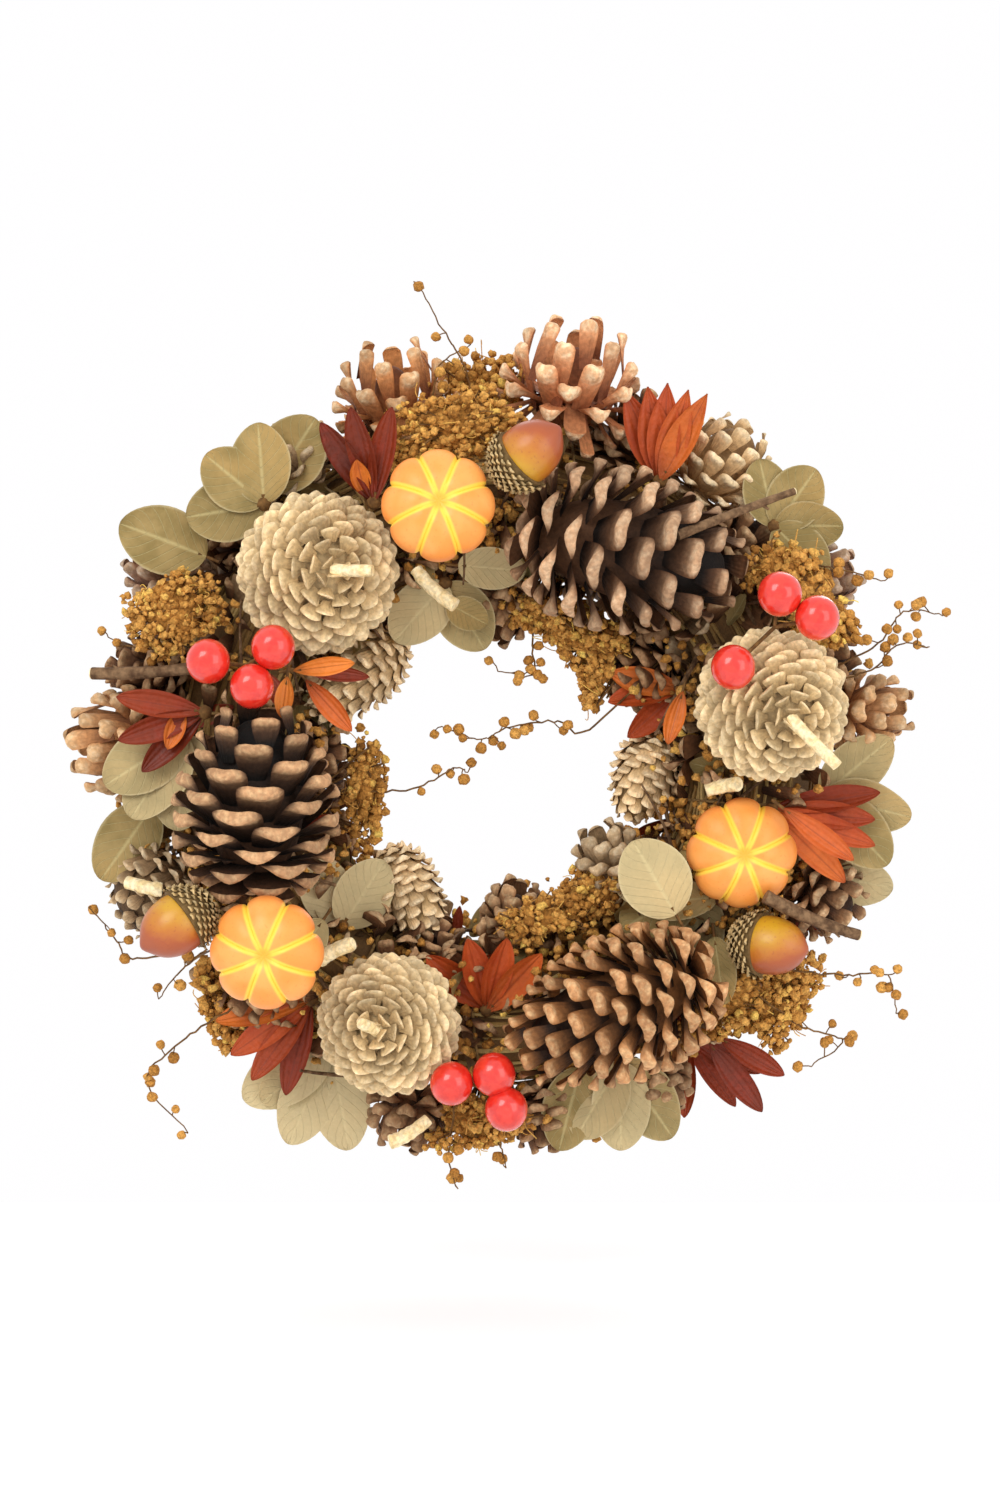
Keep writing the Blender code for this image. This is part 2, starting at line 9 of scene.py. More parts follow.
import bpy
import numpy as np
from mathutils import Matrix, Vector


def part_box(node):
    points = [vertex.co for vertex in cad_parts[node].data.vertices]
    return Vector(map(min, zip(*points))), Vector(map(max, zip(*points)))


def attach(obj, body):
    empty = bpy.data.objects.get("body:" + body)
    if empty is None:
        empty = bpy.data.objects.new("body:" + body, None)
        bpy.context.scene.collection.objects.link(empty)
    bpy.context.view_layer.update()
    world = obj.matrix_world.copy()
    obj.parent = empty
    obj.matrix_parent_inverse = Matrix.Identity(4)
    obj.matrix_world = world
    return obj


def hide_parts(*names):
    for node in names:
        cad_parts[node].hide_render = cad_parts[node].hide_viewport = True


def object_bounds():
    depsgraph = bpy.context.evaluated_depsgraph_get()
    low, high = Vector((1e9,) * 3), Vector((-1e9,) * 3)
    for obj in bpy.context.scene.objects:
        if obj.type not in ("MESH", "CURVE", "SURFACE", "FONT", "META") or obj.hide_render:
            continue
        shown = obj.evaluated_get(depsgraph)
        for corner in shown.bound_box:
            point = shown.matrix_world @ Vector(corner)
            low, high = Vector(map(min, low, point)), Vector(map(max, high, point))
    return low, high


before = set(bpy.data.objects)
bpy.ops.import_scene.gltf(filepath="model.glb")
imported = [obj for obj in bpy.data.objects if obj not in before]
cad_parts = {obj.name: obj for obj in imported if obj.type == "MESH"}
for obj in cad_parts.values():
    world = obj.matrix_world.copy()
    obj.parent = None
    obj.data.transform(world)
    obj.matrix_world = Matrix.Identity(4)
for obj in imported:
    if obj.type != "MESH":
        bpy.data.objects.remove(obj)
cad_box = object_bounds()

MM = 0.001
FULL_TURN = 2 * math.pi
GOLDEN_ANGLE = math.radians(137.508)
FRONT = np.array((0.0, -1.0, 0.0))
UP = np.array((0.0, 0.0, 1.0))

ring_low, ring_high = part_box("base_ring")
RING_MIDDLE = np.array(((ring_low.x + ring_high.x) / 2, 0, (ring_low.z + ring_high.z) / 2))
RING_WIDTH = 52 * MM
RING_RADIUS = (ring_high.x - ring_low.x - RING_WIDTH) / 2
RING_DEPTH = -ring_low.y
DOOR_GAP = 0.2 * MM
LOOP_SWING_HALF = 11        # clock degrees on each side of the top that the filling leaves free


# ---------------- directions and places

def clock_direction(clock):
    """The unit vector at a clock angle in the wreath's plane, seen from the front."""
    angle = math.radians(clock)
    return np.array((math.sin(angle), 0.0, math.cos(angle)))


def pointing(turn, lean):
    """The unit vector at a clock direction, raised towards the viewer by lean degrees."""
    tilt = math.radians(lean)
    return clock_direction(turn) * math.cos(tilt) + FRONT * math.sin(tilt)


def unit(vector):
    """The vector at length 1."""
    return vector / np.linalg.norm(vector)


def units(rows):
    """Each row at length 1."""
    return rows / np.linalg.norm(rows, axis=1)[:, None]


def frame_along(axis):
    """A rotation whose columns are across, facing the viewer, and the axis."""
    side = FRONT if abs(axis @ FRONT) < 0.98 else UP
    facing = unit(side - axis * (side @ axis))
    return np.stack((np.cross(facing, axis), facing, axis), 1)


def aimed(turn, lean):
    """A rotation that takes Z to a clock direction, raised towards the viewer."""
    return frame_along(pointing(turn, lean))


def on_ring(clock, offset_mm, depth_mm=0.0):
    """The point at a clock angle, a distance from the ring's middle and a depth off the door."""
    radius = RING_RADIUS + offset_mm * MM
    return RING_MIDDLE + clock_direction(clock) * radius + FRONT * depth_mm * MM


def about(axis, angle):
    """A rotation about X, Y or Z, given as 0, 1 or 2."""
    first, second = (axis + 1) % 3, (axis + 2) % 3
    turned = np.eye(3)
    turned[first, first] = turned[second, second] = math.cos(angle)
    turned[second, first] = math.sin(angle)
    turned[first, second] = -math.sin(angle)
    return turned


def blend_step(value, low, high):
    """0 below low, 1 above high and a smooth rise between."""
    share = np.clip((value - low) / (high - low), 0, 1)
    return share * share * (3 - 2 * share)


# ---------------- shapes

class Shape:
    """Points, faces and the numbers that a material reads at each point."""

    def __init__(self, points, quads, triangles, values):
        corners = points[quads]
        normals = np.cross(corners[:, 2] - corners[:, 0], corners[:, 3] - corners[:, 1])
        inwards = ((corners.mean(1) - points.mean(0)) * normals).sum() < 0
        self.points = points
        self.quads = quads[:, ::-1] if inwards else quads
        self.triangles = triangles[:, ::-1] if inwards else triangles
        self.values = values


def loft(sections, tone=0.0, along=0.0, across=0.0):
    """A closed skin through rings of points, given as an array (ring, point, xyz)."""
    rings, around = sections.shape[:2]
    index = np.arange(rings * around).reshape(rings, around)
    here, after = index[:-1], index[1:]
    quads = np.stack((here, np.roll(here, -1, 1), np.roll(after, -1, 1), after), -1).reshape(-1, 4)
    first = np.full(around, rings * around)
    start = np.stack((np.roll(index[0], -1), index[0], first), -1)
    end = np.stack((index[-1], np.roll(index[-1], -1), first + 1), -1)
    middles = np.stack((sections[0].mean(0), sections[-1].mean(0)))
    values = {}
    for name, value in (("tone", tone), ("along", along), ("across", across)):
        value = np.broadcast_to(value, (rings, around))
        values[name] = np.concatenate((value.reshape(-1), (value[0].mean(), value[-1].mean())))
    return Shape(np.concatenate((sections.reshape(-1, 3), middles)), quads,
                 np.concatenate((start, end)), values)


def ball(segments, rings, bump=None):
    """A ball of radius 1, pushed in and out by bump(point) where that is given."""
    polar = np.linspace(0.06, math.pi - 0.06, rings)[:, None]
    turn = np.linspace(0, FULL_TURN, segments, endpoint=False)
    flat = np.sin(polar)
    sections = np.stack((flat * np.cos(turn), flat * np.sin(turn), np.cos(polar) + 0 * turn), -1)
    if bump is not None:
        sections = sections * bump(sections)[..., None]
    return loft(sections, along=(1 - np.cos(polar)) / 2)


def tube(line, radii, sides=6):
    """A round skin along a line of points."""
    line = np.asarray(line, float)
    radii = np.broadcast_to(np.asarray(radii, float), (len(line),))
    heading = units(np.gradient(line, axis=0))
    side = UP if abs(heading[0] @ UP) < 0.8 else FRONT
    normals = []
    for step in heading:
        side = unit(side - step * (side @ step))
        normals.append(side)
    normals = np.array(normals)
    others = np.cross(heading, normals)
    angle = np.linspace(0, FULL_TURN, sides, endpoint=False)[:, None]
    rings = normals[:, None] * np.cos(angle) + others[:, None] * np.sin(angle)
    sections = line[:, None] + rings * radii[:, None, None]
    return loft(sections, along=np.linspace(0, 1, len(line))[:, None])


def curved_line(start, end, sag, steps):
    """Points from start to end, bowed by sag in the middle."""
    share = np.linspace(0, 1, steps)[:, None]
    return start + (end - start) * share + sag * (4 * share * (1 - share))


def scale_shape(tip_thickness, roundness, curl):
    """A cone scale of length 1 along Z and width 1 along X. Its inner side, +Y, is flat."""
    share = np.array((0.0, 0.3, 0.55, 0.72, 0.82, 0.9, 0.955, 0.985, 1.0))[:, None]
    width = np.array((0.40, 0.62, 0.86, 0.98, 1.0, 0.97, 0.86, 0.68, 0.42))[:, None]
    thick = np.array((0.20, 0.20, 0.26, 0.45, 0.76, 1.0, 1.0, 0.80, 0.45))[:, None]
    flat_side, round_side = 5, 7
    x_flat = np.linspace(1, -1, flat_side)
    x_round = np.linspace(-1, 1, round_side + 2)[1:-1]
    x = np.concatenate((x_flat, x_round)) / 2
    y = np.concatenate((0.26 * (x_flat ** 2 - 1), -(1 - np.abs(x_round) ** 1.7)))
    is_round = np.arange(len(x)) >= flat_side
    section_x = x * width ** roundness
    section_y = y * (thick * tip_thickness) + curl * share ** 2.5
    section_z = share - 0.03 * (1 - is_round) * (share > 0.9)
    lit_round = blend_step(share, 0.66, 0.88)
    lit_flat = 0.7 * blend_step(share, 0.95, 1.0)
    return loft(np.stack((section_x, section_y, section_z), -1),
                np.where(is_round, lit_round, lit_flat), share, x * 2)


def leaf_shape(length, width, fullness, bluntness, cup, bend, wave, twist=0.0):
    """A thin leaf along +Z from its root at 0, cupped towards +Y, with its tip bent to +Y."""
    stations = 19
    thickness = 0.5 * MM
    share = (1 - np.cos(np.linspace(0, math.pi, stations)))[:, None] / 2
    outline = np.sin(math.pi * np.clip(share ** fullness, 0, 1)) ** bluntness
    half_wide = np.maximum(outline, 0.06) * width / 2
    edge = np.array((-1, -0.66, -0.33, 0, 0.33, 0.66, 1))
    x = np.concatenate((edge, edge[-2:0:-1]))
    side = np.where(np.arange(len(x)) < len(edge), 0.5, -0.5)
    flat_x = x * half_wide
    rise = cup * x ** 2 * half_wide
    ripple = wave * width * np.sin(share * 9 + x * 1.3) * np.abs(x)
    lift = bend * length * share ** 2
    flat_y = rise + ripple + lift + side * thickness * (1 - 0.8 * np.abs(x))
    c, s = np.cos(twist * share), np.sin(twist * share)
    sections = np.stack((flat_x * c - flat_y * s, flat_x * s + flat_y * c,
                         share * length + 0 * flat_x), -1)
    return loft(sections, np.abs(x), share, x)


class Pile:
    """Shapes gathered into one mesh."""

    def __init__(self):
        self.points = []
        self.quads = []
        self.triangles = []
        self.values = {"tone": [], "along": [], "across": [], "variety": []}
        self.finishes = []
        self.count = 0

    def add(self, shape, turns=None, places=None, sizes=None, variety=0.5, finish=0, door=False):
        """Copies of a shape: one for each rotation, place and size (a number or x, y, z).

        With door, a copy that would cut into the door moves out of it.
        """
        turns = np.eye(3)[None] if turns is None else np.asarray(turns).reshape(-1, 3, 3)
        copies = len(turns)
        places = np.zeros((copies, 3)) if places is None else np.asarray(places).reshape(-1, 3)
        sizes = np.ones((copies, 3)) if sizes is None else np.asarray(sizes, float)
        if sizes.ndim == 1:
            sizes = np.repeat(sizes[:, None], 3, 1)
        varieties = np.broadcast_to(variety, (copies,))
        sized = shape.points[None] * sizes[:, None]
        points = np.einsum("cij,cpj->cpi", turns, sized) + places[:, None]
        if door:
            points[..., 1] -= np.maximum(0.0, points[..., 1].max(1) + DOOR_GAP)[:, None]
        number = len(shape.points)
        shift = self.count + np.arange(copies)[:, None, None] * number
        self.points.append(points.reshape(-1, 3))
        self.quads.append((shape.quads[None] + shift).reshape(-1, 4))
        self.triangles.append((shape.triangles[None] + shift).reshape(-1, 3))
        self.finishes.append((finish, copies * len(shape.quads), copies * len(shape.triangles)))
        for name, value in shape.values.items():
            self.values[name].append(np.tile(value, copies))
        self.values["variety"].append(np.repeat(varieties, number))
        self.count += copies * number

    def add_wire(self, start, end, sag, steps, radii, sides=6, **settings):
        """Add a tube from start to end, bowed by sag in the middle."""
        self.add(tube(curved_line(start, end, sag, steps), radii, sides), **settings)

    def fit(self, low, high):
        """Move and stretch the points into a box."""
        points = np.concatenate(self.points)
        lowest, highest = points.min(0), points.max(0)
        points = (points - (lowest + highest) / 2) * (high - low) / (highest - lowest)
        self.points = [points + (low + high) / 2]

    def turn(self, rotation, place=(0, 0, 0)):
        """Turn the points about the origin and then move the origin to the place."""
        self.points = [np.concatenate(self.points) @ np.asarray(rotation).T + np.asarray(place)]

    def to_object(self, name, materials, slot, sharp_degrees=50):
        """One smooth object, riding on the wreath, with its materials. The slot is not used."""
        mesh = bpy.data.meshes.new(name)
        quads = np.concatenate(self.quads)
        triangles = np.concatenate(self.triangles)
        points = np.concatenate(self.points)
        points[:, 1] -= max(0.0, points[:, 1].max() + DOOR_GAP)
        mesh.from_pydata(points.tolist(), [], quads.tolist() + triangles.tolist())
        for finish in materials:
            mesh.materials.append(finish)
        index = [np.full(quad, finish) for finish, quad, _ in self.finishes]
        index += [np.full(triangle, finish) for finish, _, triangle in self.finishes]
        mesh.polygons.foreach_set("material_index", np.concatenate(index).astype(np.int32))
        for key, parts in self.values.items():
            attribute = mesh.attributes.new(key, "FLOAT", "POINT")
            attribute.data.foreach_set("value", np.concatenate(parts).astype(np.float32))
        mesh.shade_smooth()
        mesh.set_sharp_from_angle(angle=math.radians(sharp_degrees))
        thing = bpy.data.objects.new(name, mesh)
        bpy.context.scene.collection.objects.link(thing)
        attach(thing, "wreath")
        return thing


def node_box(node, rotation):
    """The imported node's box in the axes of a rotation."""
    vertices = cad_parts[node].data.vertices
    points = np.empty(len(vertices) * 3)
    vertices.foreach_get("co", points)
    local = points.reshape(-1, 3) @ rotation
    return local.min(0), local.max(0)


def stand_in(pile, node, rotation, materials, slot, sharp_degrees=50):
    """Fit the pile, built in the rotation's axes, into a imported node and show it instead."""
    pile.fit(*node_box(node, rotation))
    pile.turn(rotation)
    thing = pile.to_object(node + "_finished", materials, slot, sharp_degrees)
    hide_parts(node)
    return thing


# ---------------- materials

def linear(color):
    """A colour given as display values from 0 to 255, as the shader takes it."""
    parts = []
    for value in color:
        share = value / 255
        parts.append(share / 12.92 if share <= 0.04045 else ((share + 0.055) / 1.055) ** 2.4)
    return (*parts, 1.0)


class Finish:
    """A material and short ways to add nodes to it."""

    def __init__(self, name, roughness, specular=0.5, metallic=0.0, coat=0.0, coat_roughness=0.1):
        self.material = bpy.data.materials.new(name)
        self.material.use_nodes = True
        self.nodes = self.material.node_tree.nodes
        self.links = self.material.node_tree.links
        self.shader = self.nodes["Principled BSDF"]
        for key, value in (("Roughness", roughness), ("Specular IOR Level", specular),
                           ("Metallic", metallic), ("Coat Weight", coat),
                           ("Coat Roughness", coat_roughness)):
            self.shader.inputs[key].default_value = value

    def put(self, kind, inputs=(), **settings):
        """Add a node, set its settings and link or give its inputs. A tuple is a colour."""
        node = self.nodes.new(kind)
        for key, value in settings.items():
            setattr(node, key, value)
        for key, value in dict(inputs).items():
            if isinstance(value, bpy.types.NodeSocket):
                self.links.new(value, node.inputs[key])
            else:
                given = linear(value) if isinstance(value, tuple) else value
                node.inputs[key].default_value = given
        return node

    def value(self, name):
        """A number stored at the mesh's points."""
        return self.put("ShaderNodeAttribute", attribute_name=name).outputs["Fac"]

    def noise(self, size_mm, detail=3.0):
        """Noise whose features are about size_mm across."""
        spot = self.put("ShaderNodeTexCoord").outputs["Object"]
        inputs = {"Vector": spot, "Scale": 1000 / size_mm, "Detail": detail}
        return self.put("ShaderNodeTexNoise", inputs).outputs["Fac"]

    def math(self, operation, first, second=0.0):
        """Arithmetic on numbers or sockets."""
        return self.put("ShaderNodeMath", {0: first, 1: second}, operation=operation).outputs[0]

    def ramp(self, factor, stops):
        """Colours or greys along a factor: (position, display colour)."""
        node = self.put("ShaderNodeValToRGB", {0: factor})
        elements = node.color_ramp.elements
        while len(elements) < len(stops):
            elements.new(0.5)
        for element, (position, color) in zip(elements, stops):
            element.position = position
            element.color = linear(color)
        return node.outputs["Color"]

    def span(self, factor, low, high, to_low=0.0, to_high=1.0):
        """Map a span of the factor to another span, smoothly and clamped."""
        inputs = {"Value": factor, "From Min": low, "From Max": high,
                  "To Min": to_low, "To Max": to_high}
        return self.put("ShaderNodeMapRange", inputs,
                        interpolation_type="SMOOTHSTEP").outputs["Result"]

    def mix(self, factor, first, second, blend="MIX"):
        """Mix two colours, given as sockets or display colours."""
        inputs = {0: factor, 6: first, 7: second}
        return self.put("ShaderNodeMix", inputs, data_type="RGBA", blend_type=blend).outputs[2]

    def shaded(self, color, amount, low=0.0, high=1.0):
        """Brighten and darken a colour by a factor that runs from low to high."""
        light = self.span(amount, 0, 1, low, high)
        node = self.put("ShaderNodeCombineColor", {0: light, 1: light, 2: light})
        return self.mix(1.0, color, node.outputs[0], "MULTIPLY")

    def finish(self, color, height=None, depth_mm=0.3, roughness=None):
        """Link the colour, and a bump of that depth."""
        self.links.new(color, self.shader.inputs["Base Color"])
        if height is not None:
            bump = self.put("ShaderNodeBump", {"Height": height, "Distance": depth_mm * MM,
                                               "Strength": 1.0})
            self.links.new(bump.outputs[0], self.shader.inputs["Normal"])
        if roughness is not None:
            self.links.new(roughness, self.shader.inputs["Roughness"])
        return self.material


def cone_finish(name, shaded_root, body, tip, end):
    """Bark that runs from painted shade at the scale roots deep inside a cone, partly their own darker
    brown, to its pale scale ends.
    """
    f = Finish(name, 0.78, 0.3)
    grain = f.noise(1.6, 5)
    patch = f.noise(6, 2)
    # Painted shade: each scale darkens from its body colour towards its root, deep among the other
    # scales; partly the darker brown that real scale roots have.
    inside = f.ramp(f.value("along"), ((0.2, shaded_root), (0.8, body)))
    pale = f.mix(f.span(f.noise(2.2, 3), 0.4, 0.7), tip, end)
    color = f.mix(f.value("tone"), inside, pale)
    color = f.shaded(color, patch, 0.82, 1.15)
    color = f.shaded(color, f.value("variety"), 0.80, 1.18)
    color = f.shaded(color, f.span(grain, 0.3, 0.7), 0.82, 1.12)
    lines = f.math("SINE", f.math("MULTIPLY", f.value("across"), 16.0))
    height = f.math("ADD", grain, f.math("MULTIPLY", lines, 0.12))
    return f.finish(color, height, 0.45)


def wood_finish(name, first, second, depth_mm=0.3):
    """Rough wood or bark in two colours."""
    f = Finish(name, 0.85, 0.25)
    grain = f.noise(1.3, 5)
    color = f.mix(f.span(f.noise(3, 4), 0.35, 0.65), first, second)
    color = f.shaded(color, f.value("variety"), 0.75, 1.2)
    color = f.shaded(color, f.span(grain, 0.3, 0.7), 0.8, 1.1)
    return f.finish(color, grain, depth_mm)


def eucalyptus_finish():
    """Dusty grey-green leaf with pale veins and edge."""
    f = Finish("eucalyptus_leaf", 0.62, 0.22)
    across = f.value("tone")
    along = f.value("along")
    slanted = f.math("SUBTRACT", f.math("MULTIPLY", along, 8.0), f.math("MULTIPLY", across, 2.6))
    stripe = f.math("ABSOLUTE", f.math("SUBTRACT", f.math("FRACT", slanted), 0.5))
    veins = f.span(stripe, 0.0, 0.07, 1.0, 0.0)
    rib = f.span(across, 0.0, 0.10, 1.0, 0.0)
    edge = f.span(across, 0.90, 0.99)
    color = f.mix(f.span(f.noise(9, 3), 0.35, 0.68), (142, 122, 72), (166, 142, 90))
    color = f.mix(f.span(f.noise(26, 2), 0.45, 0.75), color, (186, 152, 92))
    for mark, amount, tint in ((veins, 0.42, (206, 194, 142)), (rib, 0.55, (206, 190, 134)),
                               (edge, 0.5, (206, 190, 146))):
        color = f.mix(f.math("MULTIPLY", mark, amount), color, tint)
    color = f.mix(f.span(f.value("variety"), 0.5, 1.0, 0.0, 0.75), color, (216, 198, 154))
    color = f.shaded(color, f.value("variety"), 0.86, 1.06)
    color = f.shaded(color, f.noise(1.2, 4), 0.94, 1.05)
    height = f.math("ADD", f.math("MULTIPLY", f.math("ADD", veins, rib), -0.5), f.noise(2, 4))
    return f.finish(color, height, 0.25)


def rust_finish():
    """Leathery leaf, from dark red through rust to orange."""
    f = Finish("rust_leaf", 0.48, 0.35)
    variety = f.value("variety")
    color = f.ramp(variety, ((0.0, (90, 30, 12)), (0.35, (140, 50, 18)), (0.7, (192, 82, 34)),
                             (1.0, (230, 134, 46))))
    streak = f.math("SINE", f.math("MULTIPLY", f.value("across"), 14.0))
    rib = f.span(f.value("tone"), 0.0, 0.12, 1.0, 0.0)
    color = f.mix(f.span(f.noise(8, 3), 0.45, 0.75, 0, 0.45), color, (150, 48, 26))
    color = f.shaded(color, f.noise(2, 4), 0.82, 1.15)
    color = f.mix(f.math("MULTIPLY", rib, 0.35), color, (98, 34, 20))
    color = f.shaded(color, f.span(f.value("along"), 0.0, 0.35), 0.72, 1.0)
    height = f.math("ADD", f.math("MULTIPLY", streak, 0.25), f.noise(1.6, 4))
    return f.finish(color, height, 0.3)


def pumpkin_finish():
    """Painted orange skin with yellow grooves, and painted shade that darkens it towards the rim."""
    f = Finish("pumpkin_skin", 0.42, 0.45)
    groove = f.math("ADD", f.value("tone"), f.math("MULTIPLY", f.noise(4, 3), 0.10))
    color = f.mix(f.span(f.noise(12, 2), 0.35, 0.65), (248, 165, 84), (244, 151, 64))
    color = f.mix(f.span(f.noise(1.0, 2), 0.60, 0.72, 0, 0.3), color, (226, 118, 52))
    # Painted shade: darker orange towards the rim, where the pumpkin's side turns away from the front.
    color = f.mix(f.span(f.value("along"), 0.55, 1.0, 0.0, 0.5), color, (228, 120, 52))
    color = f.mix(f.span(groove, 0.36, 0.88), color, (254, 208, 76))
    color = f.mix(f.span(f.value("along"), 0.0, 0.02, 0.6, 0.0), color, (214, 150, 44))
    return f.finish(color, f.noise(1.4, 4), 0.12)


def acorn_finish():
    """Painted nut, yellow on one side and pinkish brown on the other."""
    f = Finish("acorn_nut", 0.34, 0.5)
    side = f.math("ADD", f.value("tone"), f.math("MULTIPLY", f.noise(5, 3), 0.25))
    color = f.ramp(side, ((0.22, (200, 150, 34)), (0.45, (186, 112, 38)), (0.62, (168, 84, 42)),
                          (0.95, (150, 72, 44))))
    color = f.mix(f.span(f.noise(1.3, 3), 0.58, 0.7, 0, 0.35), color, (150, 70, 44))
    return f.finish(color, f.noise(2, 3), 0.08)


def berry_finish():
    """Glossy coral-red lacquer."""
    f = Finish("berry", 0.26, 0.5, coat=0.7, coat_roughness=0.05)
    color = f.mix(f.span(f.noise(3, 2), 0.4, 0.6), (214, 38, 26), (226, 50, 34))
    return f.finish(color, f.noise(3, 2), 0.04)


def bud_finish():
    """Dried flower buds, golden brown with some yellow and some dark ones."""
    f = Finish("dried_buds", 0.9, 0.2)
    color = f.ramp(f.value("variety"), ((0.0, (138, 90, 38)), (0.35, (190, 134, 62)),
                                        (0.7, (216, 162, 84)), (0.92, (228, 186, 92)),
                                        (1.0, (240, 206, 106))))
    grain = f.noise(0.9, 4)
    color = f.shaded(color, f.span(grain, 0.3, 0.7), 0.68, 1.2)
    return f.finish(color, grain, 0.5)


def straw_finish():
    """Dry straw."""
    f = Finish("straw", 0.7, 0.3)
    color = f.ramp(f.value("variety"), ((0.0, (92, 62, 30)), (0.5, (158, 122, 68)),
                                        (1.0, (204, 172, 108))))
    fibre = f.noise(0.7)
    color = f.shaded(color, f.noise(7, 3), 0.72, 1.15)
    color = f.shaded(color, f.span(fibre, 0.3, 0.7), 0.85, 1.1)
    return f.finish(color, fibre, 0.25)


def steel_finish():
    """Drawn steel wire."""
    f = Finish("steel_wire", 0.32, 0.5, metallic=1.0)
    color = f.mix(f.span(f.noise(5, 3), 0.4, 0.6), (150, 150, 148), (188, 188, 184))
    rough = f.span(f.noise(2, 3), 0.3, 0.7, 0.25, 0.45)
    return f.finish(color, f.noise(0.6, 2), 0.03, rough)


BARK = wood_finish("twig_bark", (92, 66, 44), (134, 104, 74))
CUT_WOOD = wood_finish("cut_wood", (240, 212, 154), (252, 234, 190), 0.15)
STEM = wood_finish("thin_stem", (96, 66, 34), (126, 90, 48), 0.1)
EUCALYPTUS = eucalyptus_finish()
RUST = rust_finish()
PUMPKIN = pumpkin_finish()
ACORN = acorn_finish()
# The acorn cup's first colour, at its scale roots and over the bowl beneath them, is painted shade.
ACORN_CUP = cone_finish("acorn_cup", (118, 92, 52), (172, 142, 92), (196, 166, 112), (208, 182, 134))
BERRY = berry_finish()
BUDS = bud_finish()
STRAW = straw_finish()
STEEL = steel_finish()
TWINE = wood_finish("twine", (120, 92, 54), (160, 128, 80))

# Cone colours: the painted shade deep inside among the scale roots, partly their own darker brown, the
# body of a scale, and two colours of its end
PALETTES = {
    "dark": ((16, 11, 6), (76, 48, 28), (182, 138, 98), (202, 162, 118)),
    "dusky": ((24, 15, 9), (104, 68, 42), (186, 146, 110), (206, 172, 136)),
    "warm": ((46, 26, 12), (142, 90, 46), (188, 136, 90), (212, 170, 122)),
    "orange": ((116, 64, 32), (196, 130, 76), (204, 158, 112), (222, 192, 152)),
    "pink": ((120, 66, 38), (196, 128, 82), (216, 168, 124), (240, 210, 170)),
    "beige": ((156, 118, 74), (210, 172, 122), (228, 200, 156), (240, 218, 180)),
    "purple": ((84, 50, 36), (148, 104, 76), (176, 144, 114), (198, 176, 154)),
    "tan": ((110, 66, 36), (184, 130, 82), (198, 156, 110), (214, 182, 142)),
    "chunky": ((64, 38, 20), (136, 94, 60), (172, 134, 96), (198, 168, 128)),
    "grey": ((96, 70, 42), (158, 128, 92), (188, 160, 122), (208, 186, 152)),
    "ash": ((166, 134, 88), (222, 188, 140), (240, 210, 164), (248, 226, 186)),
    "brown": ((58, 34, 18), (122, 82, 52), (160, 122, 86), (188, 154, 114)),
    "round": ((154, 126, 84), (198, 168, 120), (228, 200, 152), (240, 216, 172)),
}
CONE_FINISHES = {}
for palette, colors in PALETTES.items():
    CONE_FINISHES[palette] = cone_finish("cone_" + palette, *colors)


# ---------------- cones

# style: scales, scale width mm, end thickness, roundness, curl, length mm,
#        opening at the base and at the tip in degrees, size at the tip, core, reach along Z,
#        size at both ends
CONE_STYLES = {
    "open": (66, 18.0, 0.22, 0.75, 0.05, 22, 66, 50, 0.66, 0.58, 0.96, 0.5),
    "fine": (104, 12.5, 0.25, 0.75, 0.05, 20, 62, 46, 0.62, 0.56, 0.96, 0.5),
    "chunky": (46, 10.4, 0.26, 0.9, 0.04, 14, 64, 44, 0.70, 0.48, 0.96, 0.5),
    "finger": (40, 8.2, 0.20, 0.75, 0.08, 21, 94, 40, 0.90, 0.30, 0.94, 0.5),
    "long_finger": (42, 9.0, 0.18, 0.7, 0.10, 25, 96, 38, 0.92, 0.28, 0.94, 0.5),
    "plate": (60, 9.0, 0.20, 0.9, 0.04, 13, 50, 30, 0.74, 0.56, 0.97, 0.5),
    "closed": (96, 9.4, 0.34, 0.9, -0.12, 10, 20, 16, 0.66, 0.86, 0.98, 0.4),
    "round": (230, 12.0, 0.50, 0.9, -0.26, 9, 14, 13, 0.62, 0.965, 0.9995, 0.24),
}


def leaning(tangent, normal, opening):
    """Directions tilted out of a surface by angles, and rotations that set scales along them."""
    c, s = np.cos(opening), np.sin(opening)
    direction = tangent * c + normal * s
    inner_side = tangent * s - normal * c
    return direction, np.stack((np.cross(inner_side, direction), inner_side, direction), 2)


ANGLE_JITTER = 0.05         # radians round the cone
OPENING_JITTER = 3.5        # degrees
SIZE_JITTER = 0.10
LONG_CONE_TAPER = 0.16
ROUND_CONE_TAPER = 0.10


